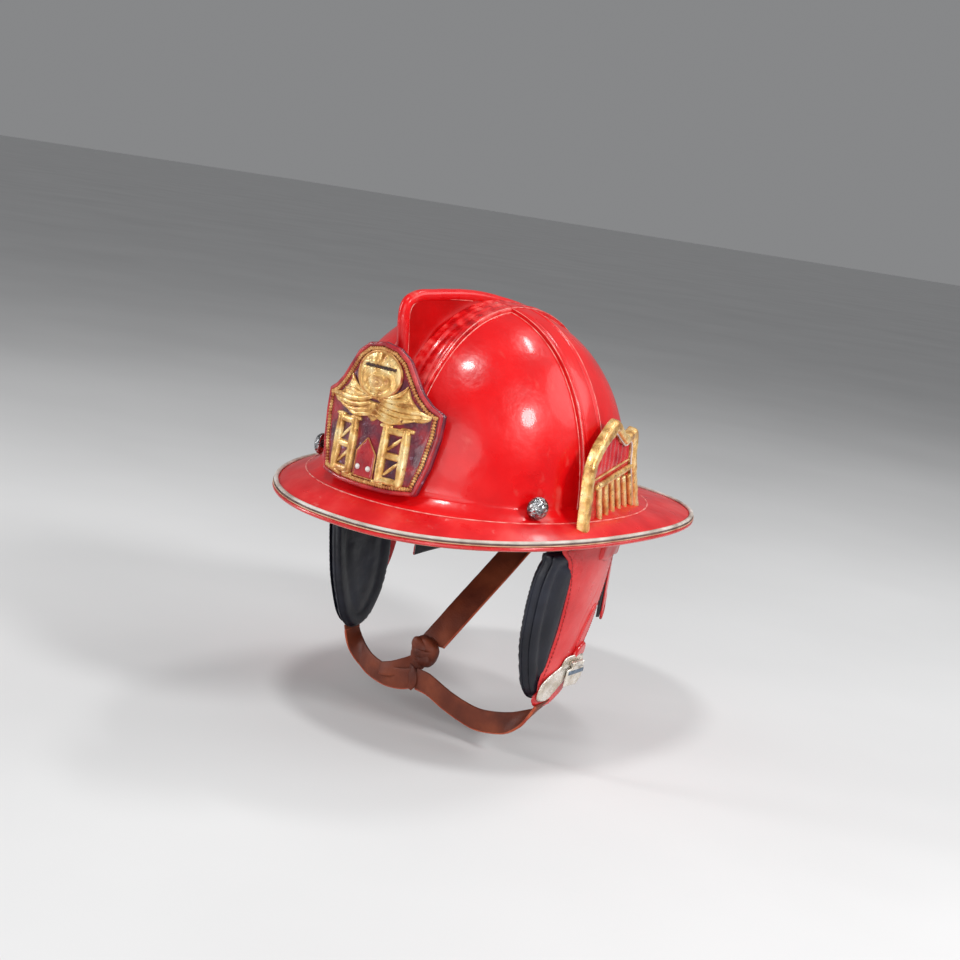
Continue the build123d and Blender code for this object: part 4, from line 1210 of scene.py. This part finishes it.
cover_solid = plaque(cover_loop, on_flap, 1.9, cover_top, 1.5)
cover_stitches = stitches(closed_path(inset_loop(cover_loop, 2.4), 96), 3.2, 0.8)

keeper_corners = [(2, -2), (2, -15), (16, -19), (30, -16), (46, -20), (46, -2)]
keeper_loop = outline_of(keeper_corners, 1.4, rounded=False)


def keeper_top(y, z, d):
    wave = 0.5 * np.sin(y * 0.3) + 0.3 * rough_field(np.column_stack([y, z, y * 0]), 6.0, 1)
    return 3.9 + 1.8 * np.sqrt(np.clip(d / 2.5, 0, 1)) + wave * step_up(0, 3, d) * 0.5


keeper_solid = plaque(keeper_loop, on_flap, 3.6, keeper_top, 1.3)
tongue_corners = [(6, -86), (12, -70), (22, -56), (27, -60), (25, -74), (18, -88), (12, -91)]
tongue_loop = outline_of(tongue_corners, 1.2)
tongue_solid = plaque(tongue_loop, on_flap, 3.6, rounded_top(3.8, 4.9, 1.4), 1.2)
tongue_stitches = stitches(closed_path(inset_loop(tongue_loop, 1.8), 44), 4.6, 0.6)

for place in ("left", "right"):
    body = f"{place}_flap"
    for label, solid, material, node in (
        ("flap_leather", cover_solid, cover_leather, "flap_cover"),
        ("flap_stitches", cover_stitches, stitch_thread, None),
        ("keeper_loop", keeper_solid, cover_leather, "flap_loop"),
        ("tongue_patch", tongue_solid, cover_leather, "flap_tongue"),
        ("tongue_stitches", tongue_stitches, stitch_thread, None),
    ):
        stands_for = [f"{node}_{place}"] if node else []
        make_piece(f"{label}_{place}", sided(solid, place), body, material, stands_for)
print("flaps covered")

# %% [markdown]
# ## Clasp
# The chin strap ends in a small two-leaf clasp on the left flap: a fixed plate and a leaf that flips open.
# The leaves are cast and worn bright, with softened corners; the hinge pin between
# them is steel from the CAD.

# %% Clasp leaves
CLASP_Y = 7
CLASP_SHIFT = FLAP_RADIUS - math.sqrt(FLAP_RADIUS ** 2 - CLASP_Y ** 2)


def on_clasp(y, z, depth):
    flat = np.column_stack([np.broadcast_to(depth, np.shape(y)) - CLASP_SHIFT, y, z])
    return flat @ FLAP_TURN.T + FLAP_TOP


def cast_top(low, high, radius, seed):
    """Rounded top with a cast, hand-worn unevenness."""
    def rule(y, z, d):
        rounded = low + (high - low) * (0.2 + 0.8 * np.sqrt(np.clip(d / radius, 0, 1)))
        return rounded - 0.4 * (0.5 + 0.5 * rough_field(np.column_stack([y, z, y * 0]), 6.0, seed))
    return rule


base_loop = outline_of([(-31, -126), (-30, -114), (-22, -108), (-10, -102), (-4, -95), (16, -95),
                        (17, -103), (4, -111), (-6, -120), (-18, -129)], 0.9)
solid = plaque(base_loop, on_clasp, 4.7, cast_top(4.9, 6.1, 1.2, 3), 0.9)
cheek_parts = [solid]
for y in (0.7, 13.3):
    lug_loop = np.column_stack([y + 1.2 * np.cos(spin[::4]), -100 + 2.3 * np.sin(spin[::4])])
    cheek_parts.append(plaque(lug_loop, on_clasp, 5.6, rounded_top(8.6, 10.1, 1.0), 0.6))
solid = join_parts(cheek_parts)
make_piece("clasp_plate", solid, "left_flap", clasp_metal, ["clasp_base"])

leaf_loop = outline_of([(-2.5, -119.5), (-2.6, -105), (2.6, -103.9), (3.2, -100.5), (10.8, -100.5),
                        (11.4, -103.9), (18.4, -104.2), (18.8, -113), (14, -119.8)], 0.8, rounded=False)
leaf_solid = plaque(leaf_loop, on_clasp, 7.0, cast_top(7.2, 8.8, 1.6, 5), 0.8)
tab_loop = outline_of([(-31, -124), (-27, -134), (-12, -134.5), (4, -126), (17, -114), (20, -104),
                       (4, -104), (-10, -112)], 1.2)
tab_solid = plaque(tab_loop, on_flap, 2.2, rounded_top(2.6, 4.2, 1.5), 1.3)
loop_outline = outline_of([(5, -97), (9, -88), (18, -86), (22, -90), (20, -97)], 0.9)
loop_solid = plaque(loop_outline, on_flap, 3.4, rounded_top(4.6, 7.2, 2.2), 0.9)
solid = join_parts([tab_solid, loop_solid])
make_piece("clasp_leather_tab", solid, "left_flap", bumper_red)

barrel_path = on_clasp(np.linspace(2.4, 11.6, 18), np.full(18, -100.0), 8.3)
barrel_solid = skin(strand(barrel_path, 3.9, 3.9, FLAP_TURN @ np.array([1.0, 0, 0]), 20))
solid = join_parts([leaf_solid, barrel_solid])
make_piece("clasp_leaf", solid, "clasp_lever", clasp_metal, ["clasp_lever"])
band_flat = np.column_stack([np.linspace(-1.6, 17.6, 24), np.linspace(-107.6, -106.8, 24)])
band_path = on_clasp(band_flat[:, 0], band_flat[:, 1], 8.55)
solid = skin(strand(band_path, 3.4, 0.7, FLAP_TURN @ np.array([1.0, 0, 0]), 10, 0.5))
blue_steel = finish(
    "blued_steel", [(0.10, 0.14, 0.20), (0.24, 0.30, 0.38)], blotch=0.004, roughness=(0.3, 0.45),
    metallic=0.8, bumps=[("noise", 0.002, 0.0002)])
make_piece("clasp_inlay", solid, "clasp_lever", blue_steel)
print("clasp made")

# %% [markdown]
# ## Straps and knot
# The straps are oiled brown leather: a flat section with rounded edges,
# darker on top and raw orange at the lower edge.
# They hang from both ends, so their sag is drawn directly, from the CAD's own route points.
# Width directions change along the route, which is what gives a real strap its gentle twist.

# %% Straps
STRAP_THICKNESS = 2.4
STRAP_GRAIN = 0.25


def strap(name, route, width, body, stands_for):
    """A strap along a route of (point, width direction), with its raw lower edge as a second piece."""
    route_points = smooth_path([p for p, _ in route], 110)
    lengths = np.linalg.norm(np.diff([p for p, _ in route], axis=0), axis=1)
    marks = np.r_[0, np.cumsum(lengths)] / lengths.sum()
    widths = unit(np.array([w for _, w in route], float))
    shares = np.linspace(0, 1, len(route_points))
    across = unit(np.column_stack([np.interp(shares, marks, widths[:, axis]) for axis in range(3)]))
    along_line = unit(np.gradient(route_points, axis=0))
    ups = unit(np.cross(across, along_line))
    crown = np.array([-1, -0.985, -0.9, -0.6, -0.3, 0, 0.3, 0.6, 0.9, 0.985, 1])
    bulge = np.array([0.0, 0.55, 0.85, 0.97, 1.03, 1.05, 1.03, 0.97, 0.85, 0.55, 0.0])
    top = [(c, b) for c, b in zip(crown, bulge)]
    section = top + [(c, -b) for c, b in zip(crown[::-1][1:-1], bulge[::-1][1:-1])]
    half_width, half_thick = width / 2 - 0.2, STRAP_THICKNESS / 2 - 0.1
    rows_here = []
    for point, side, up in zip(route_points, across, ups):
        rows_here.append([point + side * c * half_width + up * b * half_thick for c, b in section])
    rows_here = np.array(rows_here)
    creases = rough_field(rows_here, 7.0, 3) * STRAP_GRAIN
    creases = creases + rough_field(rows_here, 2.5, 6) * STRAP_GRAIN * 0.3
    rows_here += ups[:, None] * creases[..., None]
    make_piece(name, skin(rows_here), body, strap_leather, [stands_for])
    low_side = across * np.where(across[:, 2:3] > 0, -1, 1)
    edge_path = route_points + low_side * (width / 2 - 0.5)
    solid = skin(strand(edge_path, 1.3, STRAP_THICKNESS * 0.95, ups, 8))
    make_piece(f"{name}_edge", solid, body, strap_edge)


right_route = [((-100.5, -13.5, -137.5), (0, 1, 0)), ((-98.5, -14, -141.5), (0, 1, 0)),
               ((-95.5, -15, -146), (0, 1, 0.2)), ((-89.2, -17, -151.4), (0, 0.7, 0.7)),
               ((-78.3, -20, -156.8), (0, 0.25, 1)), ((-64.4, -24, -161.1), (0, 0.1, 1)),
               ((-44.4, -28, -162.6), (0, 0, 1)), ((-25.5, -31, -159.3), (0, 0, 1)),
               ((-12.3, -31, -154.5), (0, 0, 1))]
left_route = [((-9.6, -31.3, -154.2), (0, 0, 1)), ((4.3, -32, -155), (0, 0, 1)),
              ((21, -32, -160.4), (0, 0, 1)), ((39.5, -31, -165.2), (0, 0, 1)),
              ((56.5, -29, -167.2), (0, 0.1, 1)), ((78.5, -26, -162.7), (0, 0.25, 1)),
              ((93, -24, -154.5), (0, 0.7, 0.7)), ((100, -22.5, -147.5), (0, 1, 0.4)),
              ((105.2, -21, -138.2), (0, 1, 0.2))]
nape_route = [((0, 114.5, -25), (1, 0, 0)), ((0, 103, -31), (1, 0, 0)), ((1, 88, -38), (1, 0.1, 0)),
              ((2, 66, -50), (1, 0.12, 0)), ((0, 42, -70), (1, 0.15, 0)), ((-5, 18, -94), (1, 0.15, 0)),
              ((-12, -4, -120), (1, 0.1, 0)), ((-15.5, -11, -130), (1, 0.1, 0))]
strap("chin_strap_right_leather", right_route, 18, "right_flap", "chin_strap_right")
strap("chin_strap_left_leather", left_route, 18, "chin_strap", "chin_strap_left")
strap("nape_strap_leather", nape_route, 25, "helmet", "nape_strap")
print("straps hung")

# %% [markdown]
# The three straps meet under the chin in a lumpy knot:
# the nape strap is folded over and wrapped with a leather turn.
# The knot is built from crossing rounds of strap, so its lumps are folds and not just a bumpy block.

# %% Knot and wrap
KNOT = np.array([-17, -16, -136.0])


def lump(centre, size, turn, seed, rings=26, sides=34, swell=0.16, square=0.75):
    """A rounded, uneven lump of folded leather."""
    rows_here = []
    spread = np.linspace(0, 2 * math.pi, sides, endpoint=False)
    x, y = power(np.cos(spread), square), power(np.sin(spread), square)
    for lift in np.linspace(-math.pi / 2 + 0.06, math.pi / 2 - 0.06, rings):
        c, s = math.cos(lift) ** square, power(np.array(math.sin(lift)), square)
        rows_here.append(np.column_stack([c * x, c * y, np.full(sides, s)]))
    rows_here = np.array(rows_here) * np.array(size) / 2
    rows_here *= 1 + swell * rough_field(rows_here, 9.0, seed)[..., None]
    points, faces = skin(rows_here)
    return points @ turn_matrix("Y", turn).T + centre, faces


def ring_of_strap(centre, across, along_size, up_size, width, thick, turn, seed):
    """One turn of strap round the knot."""
    spin_here = np.linspace(0, 2 * math.pi, 73)
    path = np.column_stack([along_size * np.cos(spin_here), up_size * np.sin(spin_here), np.zeros(73)])
    out = np.column_stack([np.cos(spin_here), np.sin(spin_here), np.zeros(73)])
    path += out * (0.8 * rough_field(path, 6.0, seed))[:, None]
    spun = turn_matrix(*across) @ turn_matrix("Z", turn)
    return round_tube(path @ spun.T + centre, width, thick, out @ spun.T, 14, 0.6)


knot_parts = [
    lump(KNOT, (23, 14, 25), 12, 2),
    lump(KNOT + (-3.0, -3.5, 4.5), (17, 8.5, 12), 30, 5),
    lump(KNOT + (3.5, -3.5, -5.0), (15, 8.5, 13), -20, 8),
    ring_of_strap(KNOT + (0, 0, 0.5), ("X", 8), 11.6, 7.4, 7.0, 2.2, 0, 4),
]
solid = join_parts(knot_parts)
make_piece("knot_folds", solid, "right_flap", strap_leather, ["strap_knot"])
wrap_path = smooth_path([(-20, -28.5, -147), (-15, -31.5, -149), (-12, -32.9, -154), (-12, -32.9, -159),
                         (-15, -31.5, -164)], 50)
taper = 3.5 + 5.0 * np.sin(np.linspace(0.2, math.pi - 0.2, 50))
solid = skin(strand(wrap_path, taper, 2.0, (0, -1, 0), 14, 0.7))
make_piece("knot_crescent", solid, "right_flap", strap_leather)
tie_path = smooth_path([(-17, -17, -140), (-22, -21.5, -147), (-29, -26, -151), (-38, -29.5, -155),
                        (-50, -29.6, -158.5)], 50)
solid = skin(strand(tie_path, np.linspace(17, 11, 50), np.linspace(5.0, 2.2, 50), (0.1, -1, 0.4), 16, 0.6))
make_piece("knot_tail", solid, "right_flap", strap_leather)
print("knot tied")

# %% [markdown]
# ## Neck guard
# A red cloth curtain with a dark quilted lining hangs round the nape between the flaps.
# The cloth is a woven sheet hung from its top edge:
# it falls in shallow vertical folds and is bound at the hem.

# %% Neck guard
GUARD_SWEEP = 2.16
GUARD_TOP = 4.0
GUARD_OUTER = 111.6


def guard_point(share, fall, outer, swell=0.0):
    """Point on the guard: share runs 0 to 1 from left to right round the back, fall from top to hem."""
    turn = np.pi + (0.5 - share) * GUARD_SWEEP
    x, y = oval(np.asarray(turn), outer + swell, outer + swell, outer + swell + 21.5, CENTRE_Y, PLAN)
    low_edge = np.interp(y, [49, 84, 130], [-84, -71, -56])
    return np.column_stack([x, y, GUARD_TOP + (low_edge - GUARD_TOP) * fall])


shares = np.linspace(0, 1, 181)
falls = np.linspace(0, 1, 40)


def guard_sheet(outer, thick, fold):
    front_rows, back_rows = [], []
    for fall in falls:
        pleat = fold * fall * (np.sin(shares * 58) * 0.6 + np.sin(shares * 23 + 1) * 0.6)
        turned = np.where(fall > 0.94, 0.5, 0)
        front_rows.append(guard_point(shares, fall, outer, pleat + turned))
        back_rows.append(guard_point(shares, fall, outer - thick, pleat - turned))
    loops = [np.vstack([a, b[::-1]]) for a, b in zip(front_rows, back_rows)]
    return skin(loops)


solid = guard_sheet(GUARD_OUTER, 1.0, 0.7)
guard = make_piece("neck_curtain", solid, "helmet", cover_leather, ["neck_guard_cover"])

lining_rows = []
for fall in np.linspace(0.0, 1.0, 40):
    quilt = 0.5 * np.abs(np.sin(shares * 40)) * math.sin(math.pi * min(max(fall, 0.03), 0.97))
    outer_row = guard_point(shares, fall * 0.985 + 0.005, 109.7, 0)
    inner_row = guard_point(shares, fall * 0.985 + 0.005, 107.4, -quilt)
    lining_rows.append(np.vstack([outer_row, inner_row[::-1]]))
solid = skin(lining_rows)
lining = make_piece("neck_lining", solid, "helmet", lining_cloth, ["neck_guard_lining"])
hem_line = guard_point(shares, 1.0, 111.2)
solid = skin(strand(hem_line, 2.4, 2.2, unit(hem_line * np.array([1, 1, 0])), 10))
make_piece("neck_curtain_hem", solid, "helmet", stitch_thread)
print("neck guard hung")

# %% [markdown]
# ## Flap boards and hinge lugs
# Under the red cover a black vinyl facing wraps the board, with a rolled edge,
# a pressed groove and a soft centre.
# Two lugs fold up from it round the hinge pin under the brim, so the whole flap can swing out.

# %% Flap facing and lugs
facing_corners = [(y * 0.94 - 1, z * 0.97 - 1) for y, z in pad_corners]
facing_loop = outline_of(facing_corners, 2.2)


def facing_top(y, z, d):
    roll = 1.9 * np.sqrt(np.clip(d / 3.5, 0, 1))
    groove = 1.1 * np.exp(-((d - 8.0) / 1.6) ** 2)
    centre = 1.3 * step_up(8.5, 16, d) * (1 - step_up(-30, -24, y))
    creases = 0.4 * rough_field(np.column_stack([y * 1.6, z * 0.5, y * 0]), 10.0, 6)
    return 0.2 + roll - groove * (1 - step_up(-30, -24, y)) + centre + creases * step_up(2, 8, d) * 0.6


facing_solid = plaque(facing_loop, on_flap, 0.0, facing_top, 1.8)
lug_corners = [(106, -2.5), (103.4, -6), (106, -9.2), (112, -7.4), (116.6, -8), (116.6, -15.5)]
lug_parts = [facing_solid]
for y in (-22, -2):
    lug_line = smooth_path([(x, y, z) for x, z in lug_corners], 34)
    lug_ups = unit(np.gradient(lug_line, axis=0))[:, [2, 1, 0]] * np.array([-1, 1, 1])
    lug_parts.append(skin(strand(lug_line, 7.6, 1.8, lug_ups, 10, 0.5)))
solid = join_parts(lug_parts)
for place in ("left", "right"):
    make_piece(f"flap_facing_{place}", sided(solid, place), f"{place}_flap", pad_vinyl,
               [f"flap_backing_{place}"])
print("facings pressed")

# %% [markdown]
# ## Inside the helmet
# A moulded foam liner fills the dome; two webbing straps cross over the wearer's crown
# and a headband hangs below.
# The brow band is padded leather, stitched along both edges,
# and it tightens with a ratchet knob at the nape.
# None of this shows from the front, but it is what anyone sees who picks the helmet up.

# %% Impact liner
LINER_OUTSIDE, LINER_INSIDE, TAPE_INSIDE = 4.7, 15.4, 16.6
liner_turns = np.linspace(0, 2 * math.pi, 220, endpoint=False)
lift_low, lift_high = math.asin((30 / (HEIGHT - 4.5)) ** (PROFILE / 2)), math.pi / 2 - 0.04
outer_rows = [dome_ring(liner_turns, (HEIGHT - LINER_OUTSIDE) * math.sin(a) ** (2 / PROFILE), LINER_OUTSIDE)
              for a in np.linspace(lift_high, lift_low, 34)]
lip = [dome_ring(liner_turns, 28.6, inset) for inset in (6.5, 10.0, 13.5)]
lift_inner = math.asin((31 / (HEIGHT - LINER_INSIDE)) ** (PROFILE / 2))
inner_rows = []
for a in np.linspace(lift_inner, lift_high, 40):
    height_here = (HEIGHT - LINER_INSIDE) * math.sin(a) ** (2 / PROFILE)
    channel = 1.6 * np.exp(-(np.sin(liner_turns * 4) / 0.22) ** 2) * step_up(36, 50, height_here)
    row = dome_ring(liner_turns, height_here, LINER_INSIDE)
    inner_rows.append(row * (1 + (channel / 105))[:, None])
solid = skin(outer_rows + lip + inner_rows)
make_piece("foam_liner", solid, "helmet", foam, ["impact_liner"])


def liner_tape(along_y, lanes_across):
    """Webbing across the crown, woven in low ribs."""
    grid = []
    for index, angle in enumerate(np.linspace(0.42, math.pi - 0.42, 170)):
        top_hit, outward = dome_hit(*crown_rays(lanes_across, angle, along_y, CROSS_TAPE_Y), TAPE_INSIDE)
        weave = 0.16 * np.sin(index * 1.6 + np.arange(len(lanes_across)) * math.pi)
        low_hit = top_hit - outward * (1.5 + weave)[:, None]
        grid.append(np.vstack([top_hit, low_hit[::-1]]))
    return skin(grid)


tapes = [liner_tape(along_y, np.linspace(-9.7, 9.7, 13)) for along_y in (True, False)]
solid = join_parts(tapes)
make_piece("crown_tapes", solid, "helmet", webbing, ["crown_straps"])
print("liner and tapes in")

# %% [markdown]
# The brow band is foam wrapped in soft leather. It swells between its two stitch lines
# and puckers a little.

# %% Brow band
HEAD_WIDTH, HEAD_LENGTH, HEAD_Y = 80.0, 97.5, -5.5
brow_turns = np.linspace(0, 2 * math.pi, 300, endpoint=False)
brow_rows = []
section = [(4.3, -2.9), (3.9, -4.2), (4.4, -5.4)]
section += [(z, -6.0) for z in np.linspace(5.5, 36.5, 22)]
section += [(37.7, -5.4), (38.1, -4.2), (37.7, -2.9)] + [(z, -2.3) for z in np.linspace(36, 6, 8)]
for z, offset in section:
    swell = 0.0
    if offset <= -5.9:
        swell = -1.3 * math.sin(math.pi * min(max((z - 8) / 26, 0), 1)) + 0.7 * (z < 8.5 or z > 33.5)
    pucker = 0.18 * np.sin(brow_turns * 95) * (offset <= -5.9)
    half_width, half_length = HEAD_WIDTH + offset + swell, HEAD_LENGTH + offset + swell
    x, y = oval(brow_turns, half_width, half_length, half_length, HEAD_Y, PLAN)
    out = unit(np.column_stack([x, y - HEAD_Y]))
    brow_rows.append(np.column_stack([x + out[:, 0] * pucker, y + out[:, 1] * pucker, np.full(300, z)]))
solid = skin(np.array(brow_rows), round_columns=True)
brow = make_piece("brow_pad", solid, "helmet", brow_leather, ["sweatband"])
print("brow band", len(brow.data.polygons), "faces")

# %% [markdown]
# ## Hardware kept from the CAD
# Pins, nuts, rivets, hangers, the headband, its clips and the ratchet are already exact as designed.
# They keep their CAD shapes and only take a finish: moulded nylon for the harness and zinc for the fixings.

# %% Finishes on the CAD hardware
kept = {"headband": nylon, "headband_clips": webbing, "ratchet_housing": nylon, "ratchet_knob": nylon,
        "shield_stem": steel, "clasp_pin": steel}
for fixing in ("side_knob_nut", "flap_hanger", "flap_pin", "hanger_rivets"):
    kept |= {f"{fixing}_{place}": steel for place in ("left", "right")}
for node_name, finish_here in kept.items():
    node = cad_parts[node_name]
    node.data.materials.clear()
    node.data.materials.append(finish_here)
print("kept from the CAD:", ", ".join(sorted(kept)))
